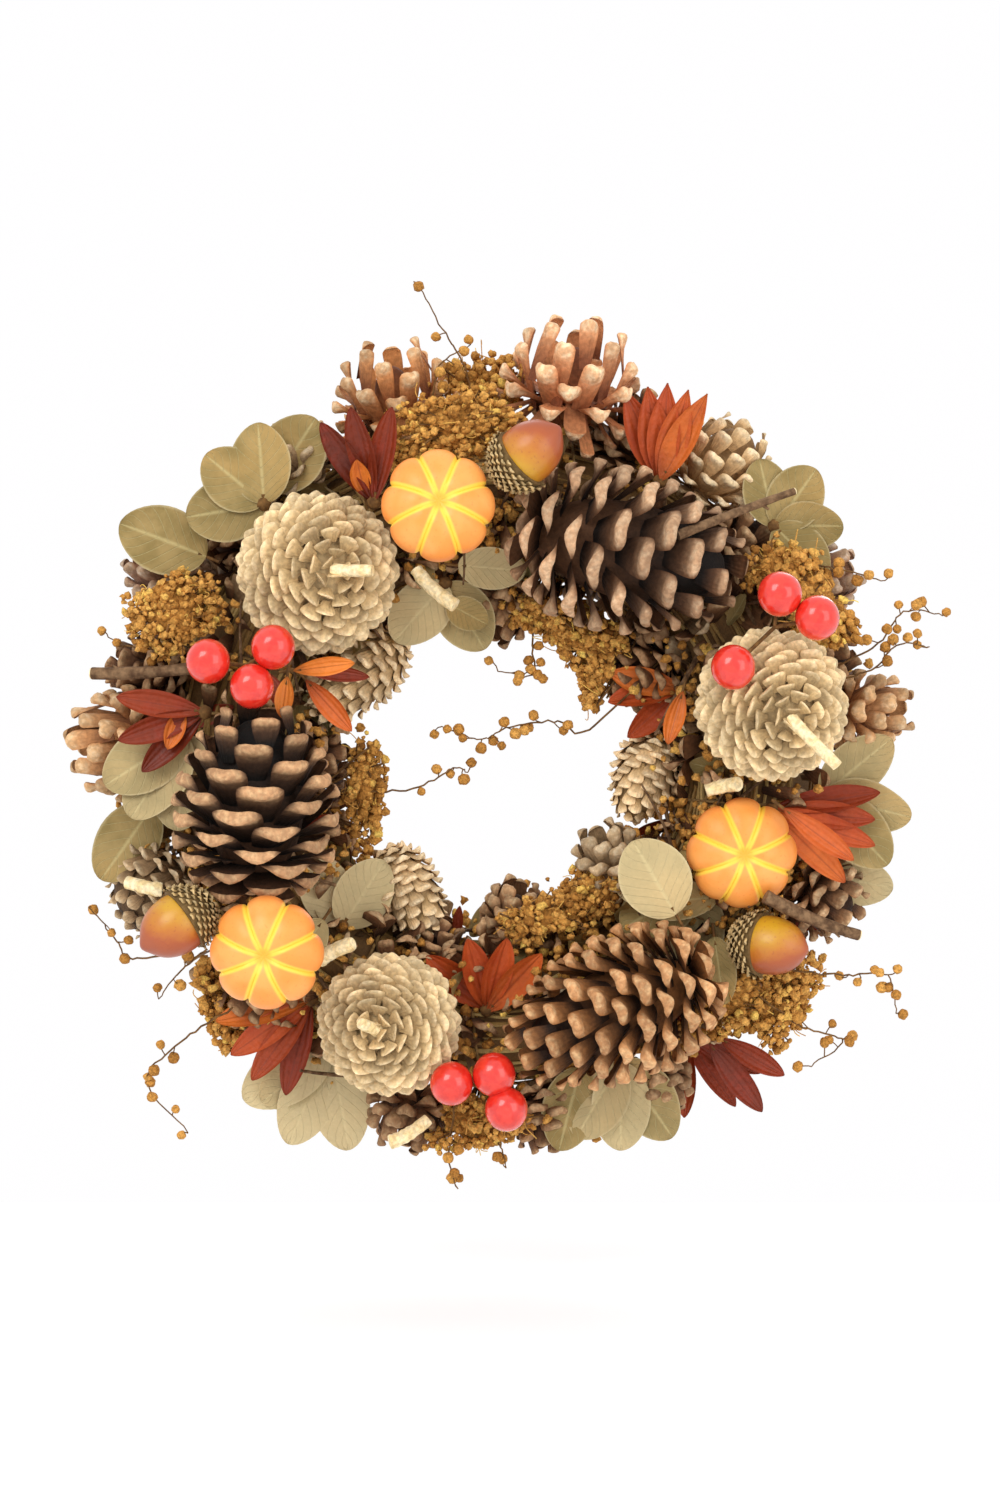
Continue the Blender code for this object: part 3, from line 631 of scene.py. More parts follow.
def cone_pile(length, width, taper, style, seed):
    """A cone of overlapping scales set in a spiral, tip at +Z."""
    (count, scale_width, end, roundness, curl, scale_length, open_base, open_tip, tip_size,
     core, reach, pole) = CONE_STYLES[style]
    rng = np.random.default_rng(seed)
    shape = scale_shape(end, roundness, curl)
    number = np.arange(count)
    share = (number + 0.5) / count
    height = reach * (2 * share - 1)
    angle = number * GOLDEN_ANGLE + rng.normal(0, ANGLE_JITTER, count)
    half_length, half_width = length / 2, width / 2
    flat = np.sqrt(1 - height ** 2)
    radius = half_width * flat * (1 - taper * height)
    outward = np.stack((np.cos(angle), np.sin(angle), 0 * angle), 1)
    axial = np.broadcast_to(UP, outward.shape)
    spread = flat / half_width
    rise = height / half_length
    size = np.hypot(spread, rise)
    normal = (outward * spread[:, None] + axial * rise[:, None]) / size[:, None]
    tangent = (axial * spread[:, None] - outward * rise[:, None]) / size[:, None]
    opening = open_base + (open_tip - open_base) * share + rng.normal(0, OPENING_JITTER, count)
    direction, turns = leaning(tangent, normal, np.radians(opening)[:, None])
    shrink = 1 + (tip_size - 1) * share ** 2
    shrink = shrink * rng.uniform(1 - SIZE_JITTER, 1 + SIZE_JITTER, count)
    scale_lengths = scale_length * MM * shrink * (pole + (1 - pole) * flat)
    scale_widths = scale_width * MM * shrink * (pole + 0.25 + (0.75 - pole) * flat)
    surface = outward * radius[:, None] + axial * (height * half_length)[:, None]
    places = surface - direction * scale_lengths[:, None]
    sizes = np.stack((scale_widths, scale_lengths, scale_lengths), 1)
    pile = Pile()
    pile.add(shape, turns, places, sizes, rng.uniform(0, 1, count))
    # Painted shade: the middle ball, partly the cone's axis, takes variety 0, the darkest tone, and
    # the shaded root colour, as the shaded inside of the cone.
    middle = ball(20, 14)
    long_core = half_length * min(core + 0.2, 0.9)
    pile.add(middle, sizes=[(half_width * core, half_width * core, long_core)], variety=0.0)
    return pile


# name, length, width, turn, lean, style, palette
CONES = [
    ("open_cone_left", 70, 58, 2, 6, "open", "dark"),
    ("open_cone_upper_right", 84, 60, 103, 4, "open", "dusky"),
    ("open_cone_lower_right", 80, 54, 247, 4, "fine", "warm"),
    ("edge_cone_top_left", 42, 48, 350, 8, "finger", "orange"),
    ("edge_cone_top", 50, 54, 12, 8, "long_finger", "pink"),
    ("edge_cone_top_right", 37, 38, 40, 6, "plate", "beige"),
    ("edge_cone_upper_right", 33, 29, 62, 6, "finger", "purple"),
    ("edge_cone_right", 37, 32, 84, 6, "finger", "tan"),
    ("edge_cone_lower_right", 30, 36, 122, 4, "chunky", "chunky"),
    ("edge_cone_bottom", 28, 30, 166, 6, "chunky", "brown"),
    ("edge_cone_lower_left", 32, 44, 236, 4, "closed", "grey"),
    ("edge_cone_left", 40, 44, 268, 6, "long_finger", "tan"),
    ("edge_cone_upper_left", 34, 30, 303, 6, "finger", "purple"),
    ("edge_cone_top_far_left", 28, 42, 318, 4, "plate", "grey"),
    ("inner_cone_upper_left", 44, 31, 228, 4, "closed", "ash"),
    ("inner_cone_lower_left", 38, 29, 150, 10, "closed", "ash"),
    ("inner_cone_right", 36, 28, 200, 8, "closed", "ash"),
    ("inner_cone_top", 30, 28, 195, 8, "finger", "brown"),
    ("inner_cone_bottom", 26, 26, 10, 14, "finger", "chunky"),
]


def build_cones():
    """The open cones on the front and the small ones round both edges."""
    for seed, (name, length, width, turn, lean, style, palette) in enumerate(CONES):
        large = name.startswith("open")
        pile = cone_pile(length * MM, width * MM, LONG_CONE_TAPER, style, seed)
        stand_in(pile, name, aimed(turn, lean), [CONE_FINISHES[palette]],
                 "large_cone" if large else "small_cone")


# name, length, width, turn, lean, stalk turn, stalk lean, stalk length
ROUND_CONES = [
    ("upper_left", 46, 58, 270, -70, 92, 22, 17),
    ("right", 46, 54, 315, -68, 137, 18, 27),
    ("lower_left", 42, 51, 80, -76, 300, 50, 10),
]
STALK_DIAMETER = 5.2 * MM


def build_round_cones():
    """Closed cones that show their round base and a cut stalk."""
    for seed, row in enumerate(ROUND_CONES):
        name, length, width, turn, lean, stalk_turn, stalk_lean, stalk_length = row
        rotation = aimed(turn, lean)
        pile = cone_pile(length * MM, width * MM, ROUND_CONE_TAPER, "round", seed + 40)
        root = np.array((0, 0, -length * MM / 2 + STALK_DIAMETER / 2))
        line = rotation.T @ pointing(stalk_turn, stalk_lean)
        rng = np.random.default_rng(seed)
        end = root + line * stalk_length * MM
        path = curved_line(root, end, rng.normal(0, 0.4 * MM, 3), 8)
        thick = STALK_DIAMETER / 2 * np.array((1.25, 1.1, 1.0, 0.98, 1.0, 0.98, 1.0, 0.92))
        pile.add(tube(path, thick, 12), finish=1)
        cut = [end - line * 0.2 * MM, end + line * 0.5 * MM]
        pile.add(tube(cut, STALK_DIAMETER / 2 * 0.9, 12), finish=2)
        stand_in(pile, "round_cone_" + name, rotation,
                 [CONE_FINISHES["round"], CUT_WOOD, CUT_WOOD], "round_cone")


# ---------------- pumpkins, acorns, berries

PUMPKINS = [("pumpkin_top", 20, 82), ("pumpkin_right", 150, 84), ("pumpkin_left", 215, 82)]
PUMPKIN_LOBES = 8


def pumpkin_shape():
    """A flat lobed pumpkin of radius 1 with a dimple at each end of Z."""
    segments = PUMPKIN_LOBES * 16
    polar = np.linspace(0.02, math.pi - 0.02, 56)[:, None]
    turn = np.linspace(0, FULL_TURN, segments, endpoint=False)
    lobe = np.abs(np.cos(turn * PUMPKIN_LOBES / 2))
    groove = 1 - lobe ** 0.55
    flat = np.sin(polar)
    rim = flat * (1 - 0.13 * groove ** 1.2 * flat ** 0.5)
    sunk = 1 - 0.30 * np.exp(-(flat / 0.26) ** 2) - 0.10 * groove * np.clip(flat * 2, 0, 1)
    height = np.cos(polar) * sunk
    sections = np.stack((rim * np.cos(turn), rim * np.sin(turn), height + 0 * turn), -1)
    distance = np.abs(np.arcsin(np.clip(np.cos(turn * PUMPKIN_LOBES / 2), -1, 1)))
    arc = distance * 2 / PUMPKIN_LOBES * np.maximum(flat, 0.12)
    return loft(sections, np.exp(-(arc / 0.075) ** 2), 1 - np.abs(np.cos(polar)))


def build_pumpkins():
    """The three small pumpkins."""
    for seed, (name, turn, lean) in enumerate(PUMPKINS):
        pile = Pile()
        pile.add(pumpkin_shape(), variety=seed / 2)
        stand_in(pile, name, aimed(turn, lean), [PUMPKIN], "pumpkin_skin", 80)


# name, turn, lean, the clock direction of the nut's yellow side
ACORNS = [("top", 52, 20, 215), ("right", 96, 30, 335), ("left", 236, 16, 20)]
CUP_SCALE_OPENING = 20      # degrees


def build_acorns():
    """Smooth nuts in scaly cups."""
    for seed, (place, turn, lean, yellow) in enumerate(ACORNS):
        rotation = aimed(turn, lean)
        nut = ball(40, 28, lambda p: 1 + 0.10 * np.exp(-((1 - p[..., 2]) / 0.03)))
        lit = nut.points @ (rotation.T @ pointing(yellow, 30))
        nut.values["tone"] = 0.5 - lit * 0.45
        pile = Pile()
        pile.add(nut)
        stand_in(pile, "acorn_nut_" + place, rotation, [ACORN], "acorn_nut", 80)

        rng = np.random.default_rng(seed + 70)
        pile = Pile()
        bowl_steps, rim_angle, inner = 9, math.radians(80), 0.84
        outer = np.linspace(0.05, rim_angle, bowl_steps)
        profile = [(math.sin(a), -math.cos(a)) for a in outer]
        profile += [(inner * math.sin(a), -inner * math.cos(a)) for a in outer[::-1]]
        spin = np.linspace(0, FULL_TURN, 28, endpoint=False)
        rings = [[(r * math.cos(a), r * math.sin(a), z) for a in spin] for r, z in profile]
        pile.add(loft(np.array(rings)), variety=0.3)
        count = 150
        number = np.arange(count)
        height = -0.985 + 0.80 * (number + 0.5) / count
        angle = number * GOLDEN_ANGLE
        flat = np.sqrt(1 - height ** 2)
        outward = np.stack((flat * np.cos(angle), flat * np.sin(angle), height), 1)
        tangent = np.stack((-height * np.cos(angle), -height * np.sin(angle), flat), 1)
        direction, turns = leaning(tangent, outward, math.radians(CUP_SCALE_OPENING))
        size = 0.26 * rng.uniform(0.85, 1.15, count)
        places = outward * 1.04 - direction * (size * 0.8)[:, None]
        sizes = np.stack((size * 0.85, size, size), 1)
        pile.add(scale_shape(0.3, 0.9, -0.05), turns, places, sizes, rng.uniform(0, 1, count))
        stand_in(pile, "acorn_cup_" + place, rotation, [ACORN_CUP], "acorn_cup")


BERRY_DIAMETER = 15.3 * MM
BERRY_WIRE = 0.7 * MM
BERRY_PICKS = [
    ("left", ((288.6, 9), (296.8, -10), (286.5, -8))),
    ("right", ((60.5, 19), (66.9, 27), (69.5, -6))),
    ("bottom", ((187.2, 21), (179.5, 17), (177.5, 29))),
]


def build_berries():
    """Glossy berries on thin wires that meet behind them."""
    berry = ball(40, 28, lambda p: 1 - 0.05 * np.exp(-((1 - p[..., 2]) / 0.02)))
    face_viewer = about(0, math.radians(90))
    for name, places in BERRY_PICKS:
        spots = np.array([on_ring(clock, offset) for clock, offset in places])
        joint = spots.mean(0) - FRONT * BERRY_DIAMETER * 0.6
        pile = Pile()
        for spot in spots:
            pile.add(berry, [face_viewer], [spot], [BERRY_DIAMETER / 2])
            pile.add_wire(joint, spot - FRONT * BERRY_DIAMETER * 0.3, (0, 0.6 * MM, 0), 6,
                          BERRY_WIRE, finish=1)
        stand_in(pile, "berry_pick_" + name, np.eye(3), [BERRY, STEM], "berry", 80)


# ---------------- leaves

# How full and how blunt a leaf's outline is
POINTED_LEAF = (1.15, 0.62)
SLENDER_LEAF = (0.85, 0.85)
ROUND_LEAF = (0.95, 0.5)

# name, leaf length, leaf width, turn, lean, leaf angles, bend, colour of its first and last leaf
RUST_SPRIGS = [
    ("top_left", 34, 10, 0, 14, (-32, -10, 12), 0.12, 0.05, 0.25),
    ("top_right", 34, 11, 6, 12, (-26, -14, -2, 10, 22), 0.10, 0.55, 0.8),
    ("left", 31, 10, 262, 6, (-36, -10, 18), 0.06, 0.12, 0.4),
    ("inner_right", 27, 10, 252, 10, (-22, 6, 32), 0.10, 0.5, 0.85),
    ("right", 38, 10, 104, 6, (-22, -8, 6, 32), 0.05, 0.35, 0.8),
    ("bottom", 30, 11, 0, 22, (-46, -16, 12, 40), 0.14, 0.6, 0.75),
    ("lower_left", 34, 10, 232, 6, (-40, -18, 4, 26), 0.06, 0.3, 0.85),
    ("lower_right", 32, 9, 152, 2, (-34, -6, 28), 0.04, 0.2, 0.45),
]

# name, leaf length, leaf width, turn, lean, leaf angles, bend, paleness
EUCALYPTUS_SPRIGS = [
    ("top_left", 28, 23, 322, 4, (-62, -12, 34), 0.04, 0.15),
    ("inner_left", 28, 22, 206, 4, (-56, 14), 0.06, 0.6),
    ("top_right", 25, 20, 60, 4, (-72, -22, 26, 74), 0.06, 0.6),
    ("left", 34, 24, 214, 2, (-30, -2, 24), 0.02, 0.7),
    ("lower_left", 28, 20, 20, 6, (-44, 14), 0.08, 0.8),
    ("right", 32, 20, 96, 2, (-46, 8, 42), 0.02, 0.65),
    ("inner_right", 31, 22, 250, 6, (-72, -10, 26), 0.06, 0.95),
    ("bottom_left", 37, 23, 204, 2, (-34, 0, 34), 0.02, 1.0),
    ("bottom_right", 31, 21, 178, 2, (-34, 2, 34), 0.02, 0.8),
]


def sprig_pile(length, width, angles, bend, outline, cup, wave, seed, varieties):
    """Leaves fanned out from a bound root."""
    rng = np.random.default_rng(seed)
    pile = Pile()
    for number, angle in enumerate(angles):
        grown = rng.uniform(0.94, 1.04)
        leaf = leaf_shape(length * grown, width * rng.uniform(0.92, 1.05), *outline, cup,
                          bend + rng.normal(0, 0.03), wave, rng.normal(0, 0.12))
        shift = (number - (len(angles) - 1) / 2) * 1.1 * MM
        turn = about(1, -math.radians(angle)) @ about(2, rng.normal(0, 0.16))
        pile.add(leaf, [turn], [(0, shift, 0)], variety=varieties[number])
        root = turn @ np.array((0, 0, length * 0.12)) + (0, shift, 0)
        pile.add_wire(np.zeros(3), root, np.zeros(3), 4, 0.8 * MM, finish=1)
    knob = ball(12, 8, lambda p: 1 + 0.08 * np.sin(p[..., 0] * 9) * np.sin(p[..., 2] * 7))
    pile.add(knob, sizes=[2.6 * MM], finish=1)
    return pile


def build_sprigs():
    """Rust-coloured pointed leaves and round grey-green ones."""
    for seed, row in enumerate(RUST_SPRIGS):
        name, length, width, turn, lean, angles, bend, first, last = row
        outline = SLENDER_LEAF if name == "top_right" else POINTED_LEAF
        pile = sprig_pile(length * MM, width * MM, angles, bend, outline, 0.55, 0.01, seed,
                          np.linspace(first, last, len(angles)))
        stand_in(pile, "rust_sprig_" + name, aimed(turn, lean), [RUST, STEM], "rust_leaf", 70)
    for seed, row in enumerate(EUCALYPTUS_SPRIGS, 20):
        name, length, width, turn, lean, angles, bend, pale = row
        spread = np.random.default_rng(seed).normal(0, 0.15, len(angles))
        pile = sprig_pile(length * MM, width * MM, angles, bend, ROUND_LEAF, 0.10, 0.022, seed,
                          np.clip(pale + spread, 0, 1))
        stand_in(pile, "eucalyptus_sprig_" + name, aimed(turn, lean), [EUCALYPTUS, STEM],
                 "eucalyptus_leaf", 70)


# ---------------- dried buds

def rough_bump(rng, strength):
    """A bump function for a lumpy ball."""
    waves = rng.normal(0, 3.2, (4, 3))
    phases = rng.uniform(0, FULL_TURN, 4)

    def bump(points):
        total = 0
        for wave, phase in zip(waves, phases):
            total = total + np.sin(points @ wave + phase)
        return 1 + strength * total / 2
    return bump


BUD_DENSITY = 1.45
bud_rng = np.random.default_rng(5)
BUD_SHAPES = [ball(7, 5, rough_bump(bud_rng, 0.32)) for _ in range(5)]


def random_turns(rng, count):
    """Rotations in every direction."""
    w, x, y, z = units(rng.normal(0, 1, (count, 4))).T
    rows = np.array(((1 - 2 * (y * y + z * z), 2 * (x * y - z * w), 2 * (x * z + y * w)),
                     (2 * (x * y + z * w), 1 - 2 * (x * x + z * z), 2 * (y * z - x * w)),
                     (2 * (x * z - y * w), 2 * (y * z + x * w), 1 - 2 * (x * x + y * y))))
    return rows.transpose(2, 0, 1)


def scatter_buds(pile, places, low_mm, high_mm, rng):
    """A lumpy bud at each place."""
    kinds = rng.integers(0, len(BUD_SHAPES), len(places))
    for kind, shape in enumerate(BUD_SHAPES):
        chosen = places[kinds == kind]
        count = len(chosen)
        if count:
            sizes = rng.uniform(low_mm, high_mm, count) * MM / 2
            pile.add(shape, random_turns(rng, count), chosen, sizes, rng.beta(2, 2, count))


def bud_cluster(half, count, seed):
    """A cluster of buds and stems inside an ellipsoid of half sizes x, y, z."""
    rng = np.random.default_rng(seed)
    pile = Pile()
    count = int(count * BUD_DENSITY)
    direction = units(rng.normal(0, 1, (count, 3)))
    swell = 0.76 + 0.24 * np.sin(direction @ rng.normal(0, 4, 3) + rng.uniform(0, 6))
    depth = rng.uniform(0.4, 1.0, count) ** 0.5 * swell
    depth *= np.where(rng.random(count) < 0.14, rng.uniform(1.05, 1.25, count), 1.0)
    places = direction * depth[:, None] * half
    scatter_buds(pile, places, 1.3, 3.7, rng)
    for place in places[::5]:
        pile.add_wire(place * 0.1, place * 1.02, rng.normal(0, 1.2 * MM, 3), 5, 0.28 * MM, 4, finish=1)
    for place in places[1::9]:
        end = place * rng.uniform(1.02, 1.22) + rng.normal(0, 2.2 * MM, 3)
        pile.add_wire(place * 0.85, end, rng.normal(0, 1.8 * MM, 3), 7, 0.17 * MM, 4,
                      variety=rng.uniform(0.5, 1.0))
    pile.add(ball(12, 9, rough_bump(rng, 0.2)), sizes=[half * 0.5], variety=0.2)
    return pile


# name, width, height, depth, turn, buds
BUD_CLUMPS = [
    ("top", 50, 34, 20, 84, 420),
    ("left", 40, 38, 20, 114, 380),
    ("inner_top", 38, 24, 18, 122, 300),
    ("right", 40, 28, 18, 152, 320),
    ("lower_right", 44, 34, 20, 40, 380),
    ("lower_left", 42, 30, 18, 136, 340),
]


def build_bud_clumps():
    """The clumps of dried buds."""
    for seed, (name, width, height, depth, turn, count) in enumerate(BUD_CLUMPS):
        half = np.array((height, depth, width)) * MM / 2
        pile = bud_cluster(half, count, seed + 90)
        stand_in(pile, "bud_clump_" + name, frame_along(clock_direction(turn)), [BUDS, STEM],
                 "dried_buds", 80)


# ---------------- straw ring and hanger

def ring_point(clock, section, lift):
    """A point on the ring's skin: clock angle, angle round the section and distance off it."""
    across = (RING_WIDTH / 2 + lift) * math.cos(section)
    depth = (RING_DEPTH + lift) * max(math.sin(section), 0.0)
    return RING_MIDDLE + clock_direction(clock) * (RING_RADIUS + across) + FRONT * depth


def build_ring():
    """Straw laid round a flat-backed ring and bound with twine."""
    rng = np.random.default_rng(11)
    pile = Pile()
    steps, inset, twine = 72, 1.6 * MM, 0.55 * MM
    rim = [math.pi * n / 14 for n in range(15)]
    sections = [[ring_point(360 * step / steps, angle, -inset) + FRONT * 0.8 * MM for angle in rim]
                for step in range(steps + 1)]
    pile.add(loft(np.array(sections)), variety=0.12)

    strands, back_share = 620, 0.38
    for _ in range(strands):
        start = rng.uniform(0, 360)
        reach = rng.uniform(14, 46)
        on_back = rng.random() < back_share
        section = rng.uniform(0, math.pi)
        drift = rng.normal(0, 0.10)
        across = rng.uniform(-0.97, 0.97)
        lift = -rng.uniform(0.1, 1.1) * MM
        line = []
        for step in range(7):
            share = step / 6
            clock = start + reach * share
            if on_back:
                side = (across + drift * 0.6 * (share - 0.5)) * RING_WIDTH / 2
                spot = RING_MIDDLE + clock_direction(clock) * (RING_RADIUS + side)
                line.append(spot + FRONT * (0.9 + abs(lift) / MM * 0.3) * MM)
            else:
                line.append(ring_point(clock, np.clip(section + drift * share, 0.02, 3.12), lift))
        thick = rng.uniform(0.45, 0.95) * MM
        pile.add(tube(line, [thick * 0.7] + [thick] * 5 + [thick * 0.6], 5),
                 variety=rng.uniform(0.15, 1.0))

    wraps = 26
    for wrap in range(wraps):
        clock = 360 * wrap / wraps + rng.uniform(-2, 2)
        slant = rng.uniform(4, 9)
        line = []
        for step in range(17):
            angle = math.pi * step / 16
            spot = ring_point(clock + slant * step / 16, angle, -0.1 * MM)
            line.append(spot + FRONT * 0.75 * MM)
        far, near = line[-1], line[0]
        for step in range(1, 8):
            line.append(far + (near - far) * step / 8)
        line.append(near + FRONT * 0.01 * MM)
        pile.add(tube(line, twine), variety=0.9, finish=1)
    thing = pile.to_object("base_ring_finished", [STRAW, TWINE], "straw")
    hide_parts("base_ring")


def build_hanger():
    """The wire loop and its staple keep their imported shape."""
    for node in ("hanging_loop", "hanger_staple"):
        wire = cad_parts[node]
        for holder in wire.material_slots:
            holder.material = STEEL


# ---------------- loose pieces and filling

# name, clock, offset, depth, length, width, turn, lean, style, palette
LOOSE_CONES = [
    ("bottom_left", 193, 38, 14, 30, 32, 192, 6, "finger", "brown"),
    ("bottom_right", 153, 38, 10, 26, 26, 156, 6, "finger", "brown"),
    ("inner_right", 131, -36, 22, 32, 28, 330, 10, "finger", "grey"),
    ("inner_left", 268, -28, 14, 30, 26, 80, 12, "chunky", "brown"),
    ("inner_bottom", 196, -20, 14, 28, 26, 20, 12, "chunky", "brown"),
    ("inner_upper_right", 60, -30, 14, 32, 28, 240, 12, "chunky", "brown"),
    ("top_gap", 24, 34, 15, 34, 30, 26, 10, "chunky", "chunky"),
    ("left_gap", 284, 34, 14, 32, 28, 288, 10, "chunky", "brown"),
    ("upper_left_gap", 312, 30, 14, 32, 28, 312, 10, "chunky", "brown"),
    ("right_gap", 73, 30, 14, 30, 28, 70, 10, "chunky", "brown"),
    ("upper_right_gap", 50, 24, 15, 34, 30, 50, 10, "chunky", "chunky"),
    ("lower_right_gap", 133, 28, 14, 34, 30, 134, 10, "chunky", "brown"),
    ("lower_left_gap", 225, 26, 14, 32, 30, 226, 10, "chunky", "brown"),
]

# name, clock, offset, depth, width, height, thickness, turn, buds
LOOSE_CLUSTERS = [
    ("left", 254.9, -46, 24, 44, 17, 16, 4, 230),
    ("inner_right", 143.6, -33, 26, 38, 22, 18, 62, 260),
    ("bottom", 181.8, 37, 28, 46, 27, 18, 92, 300),
    ("upper_right", 56, 26, 44, 26, 22, 16, 60, 150),
    ("hanging", 46, -43, 22, 42, 18, 16, 172, 230),
    ("inner_top", 18, -40, 24, 30, 20, 16, 110, 160),
    ("crest", 359, 38, 20, 40, 26, 20, 88, 240),
    ("crown", 346, 20, 34, 36, 26, 16, 120, 200),
    ("lower_edge", 136, 26, 30, 40, 24, 18, 60, 220),
    ("inner_bottom", 163, -33, 32, 36, 18, 16, 76, 220),
]

# name, clock, offset, depth, length, width, turn, lean, colour
LOOSE_RUST = [
    ("orange_a", 293.5, -18, 62, 22, 6.5, 84, 10, 0.95),
    ("orange_b", 291.5, -17, 64, 15, 6.5, 186, 12, 1.0),
    ("orange_c", 292.5, -23, 58, 24, 7.5, 138, 8, 0.78),
    ("red_a", 290.5, -9, 56, 18, 6.5, 150, 20, 0.3),
    ("red_b", 294.5, -20, 54, 24, 5.5, 96, 8, 0.2),
    ("orange_d", 334, 8, 50, 15, 7, 350, 30, 0.9),
    ("orange_e", 279, 16, 46, 16, 7, 200, 16, 0.85),
    ("orange_f", 71, -22, 44, 20, 7, 196, 14, 0.85),
    ("red_c", 100, 10, 52, 30, 8, 128, 6, 0.75),
    ("red_d", 145, 30, 26, 22, 7, 120, 8, 0.25),
    ("red_e", 142.8, 34, 32, 30, 9, 143, 8, 0.15),
    ("red_f", 141, 35, 30, 26, 8, 120, 8, 0.3),
]
LOOSE_GREEN = [
    ("green_a", 122, 1, 30, 30, 14, 266, 8, 0.6),
    ("green_b", 129, 8, 34, 24, 12, 172, 8, 0.4),
    ("green_c", 350, -24, 34, 24, 15, 96, 8, 0.8),
    ("green_d", 344, -36, 30, 16, 12, 120, 8, 0.5),
    ("green_e", 226, -10, 34, 26, 14, 214, 10, 0.7),
    ("green_f", 305, 30, 34, 32, 24, 292, 4, 0.45),
    ("green_g", 104, 22, 14, 30, 20, 62, 8, 0.5),
    ("green_h", 110, 28, 14, 30, 19, 100, 2, 0.85),
    ("green_i", 209, 30, 9, 28, 20, 236, 2, 0.8),
    ("green_j", 262, 28, 30, 32, 22, 214, 4, 0.35),
    ("green_k", 164, 22, 24, 30, 20, 196, 4, 0.45),
    ("green_l", 320, 30, 36, 30, 24, 36, 4, 0.2),
    ("green_m", 130.6, -8, 44, 30, 25, 330, 6, 0.8),
]

# name, start (clock, offset, depth), end, radius at each in mm
TWIGS = [
    ("twig_left", (287, 14, 46), (281.8, 50.5, 36), 2.0, 2.3),
    ("twig_upper_right", (40, 6, 72), (48.7, 46, 58), 1.7, 1.2),
    ("twig_right", (117, 14, 50), (115.9, 49.6, 42), 2.5, 1.9),
    ("peg_top", (338, -22, 44), (346.1, -38, 50), 2.3, 2.7),
    ("peg_left", (220, 0, 50), (216.8, -12, 58), 2.4, 2.6),
    ("peg_far_left", (251, 42, 40), (248.2, 31.7, 44), 2.4, 2.5),
    ("peg_right", (99, -17, 46), (96.3, -7, 52), 2.3, 2.5),
    ("peg_bottom", (190, 36, 40), (194.7, 46, 44), 2.3, 2.6),
]

# name, the stem's places (clock, offset, depth), bobbles
SPRAYS = [
    ("top", [(357, 30, 26), (356.1, 44.7, 28), (353.7, 57.5, 28), (350.8, 78, 24)], 3),
    ("hole_right", [(60, -22, 22), (74.1, -56.5, 30), (62, -66, 32), (29.5, -80, 34),
                          (330, -85, 34), (301.5, -72, 32)], 14),
    ("hole_top", [(14, -30, 24), (20, -50, 28), (26, -60, 30), (4, -62, 30)], 9),
    ("hole_left", [(256, -40, 26), (248, -62, 30), (253, -78, 30), (236, -82, 28)], 5),
    ("right", [(76, 24, 36), (74, 46, 40), (70.6, 60, 40), (72.4, 73, 36)], 8),
    ("right_low", [(78, 24, 32), (77, 44, 34), (74.5, 56, 36), (76, 66, 32)], 6),
    ("lower_right", [(127, 30, 36), (122, 52, 36), (119, 66, 34), (122.4, 76, 30)], 9),
    ("lower_right_b", [(132, 30, 32), (131, 52, 32), (129, 66, 30), (134, 64, 28)], 7),
    ("lower_left", [(226, 34, 34), (227.5, 56, 34), (226.8, 74, 30), (219, 78, 26)], 8),
    ("left", [(238, 36, 32), (240.7, 52, 32), (245, 55, 30), (249.6, 59, 28)], 4),
    ("left_low", [(236, 28, 34), (235.5, 40, 34), (234, 52, 32)], 3),
    ("upper_left", [(288, 28, 34), (287, 38, 34), (287.2, 49, 30)], 3),
    ("bottom", [(186, 30, 34), (186.2, 48, 34), (184.6, 60, 32)], 5),
    ("bottom_b", [(179, 28, 30), (178.8, 42, 32), (178, 52, 30)], 4),
    ("crown", [(350, 26, 40), (352, 44, 40), (357, 52, 36)], 5),
    ("upper_right", [(58, 34, 46), (62, 46, 44), (66, 58, 40)], 5),
]


STEM_RADII = (0.42 * MM, 0.22 * MM)     # at a spray's root and tip
STEM_BARE = 0.38                        # share of a stem without seed heads


def smooth_line(places, steps):
    """Points on a smooth line through the places."""
    places = np.asarray(places, float)
    padded = np.concatenate((2 * places[:1] - places[1:2], places, 2 * places[-1:] - places[-2:-1]))
    line = []
    for number in range(len(places) - 1):
        a, b, c, d = padded[number:number + 4]
        for t in np.linspace(0, 1, steps, endpoint=False):
            line.append(0.5 * (2 * b + (c - a) * t + (2 * a - 5 * b + 4 * c - d) * t ** 2
                               + (3 * b - a - 3 * c + d) * t ** 3))
    line.append(places[-1])
    return np.array(line)


def build_loose_cones():
    """Small cones between the others."""
    for seed, row in enumerate(LOOSE_CONES):
        name, clock, offset, depth, length, width, turn, lean, style, palette = row
        pile = cone_pile(length * MM, width * MM, LONG_CONE_TAPER, style, seed + 200)
        pile.turn(aimed(turn, lean), on_ring(clock, offset, depth))
        pile.to_object("loose_cone_" + name, [CONE_FINISHES[palette]], "small_cone")


def build_loose_clusters():
    """Bud clusters between the others, on stems that come out of the ring."""
    for seed, row in enumerate(LOOSE_CLUSTERS):
        name, clock, offset, depth, width, height, thick, turn, count = row
        half = np.array((height, thick, width)) * MM / 2
        rng = np.random.default_rng(seed)
        pile = bud_cluster(half, count, seed + 300)
        rotation = frame_along(clock_direction(turn))
        middle = on_ring(clock, offset, depth)
        pile.turn(rotation, middle)
        root = on_ring(clock, np.clip(offset, -20, 20), 14)
        for _ in range(9):
            end = middle + rotation @ (rng.uniform(-0.8, 0.8, 3) * half)
            pile.add_wire(root, end, rng.normal(0, 2 * MM, 3), 7, 0.4 * MM, 5, finish=1)
        pile.to_object("loose_buds_" + name, [BUDS, STEM], "dried_buds", 80)


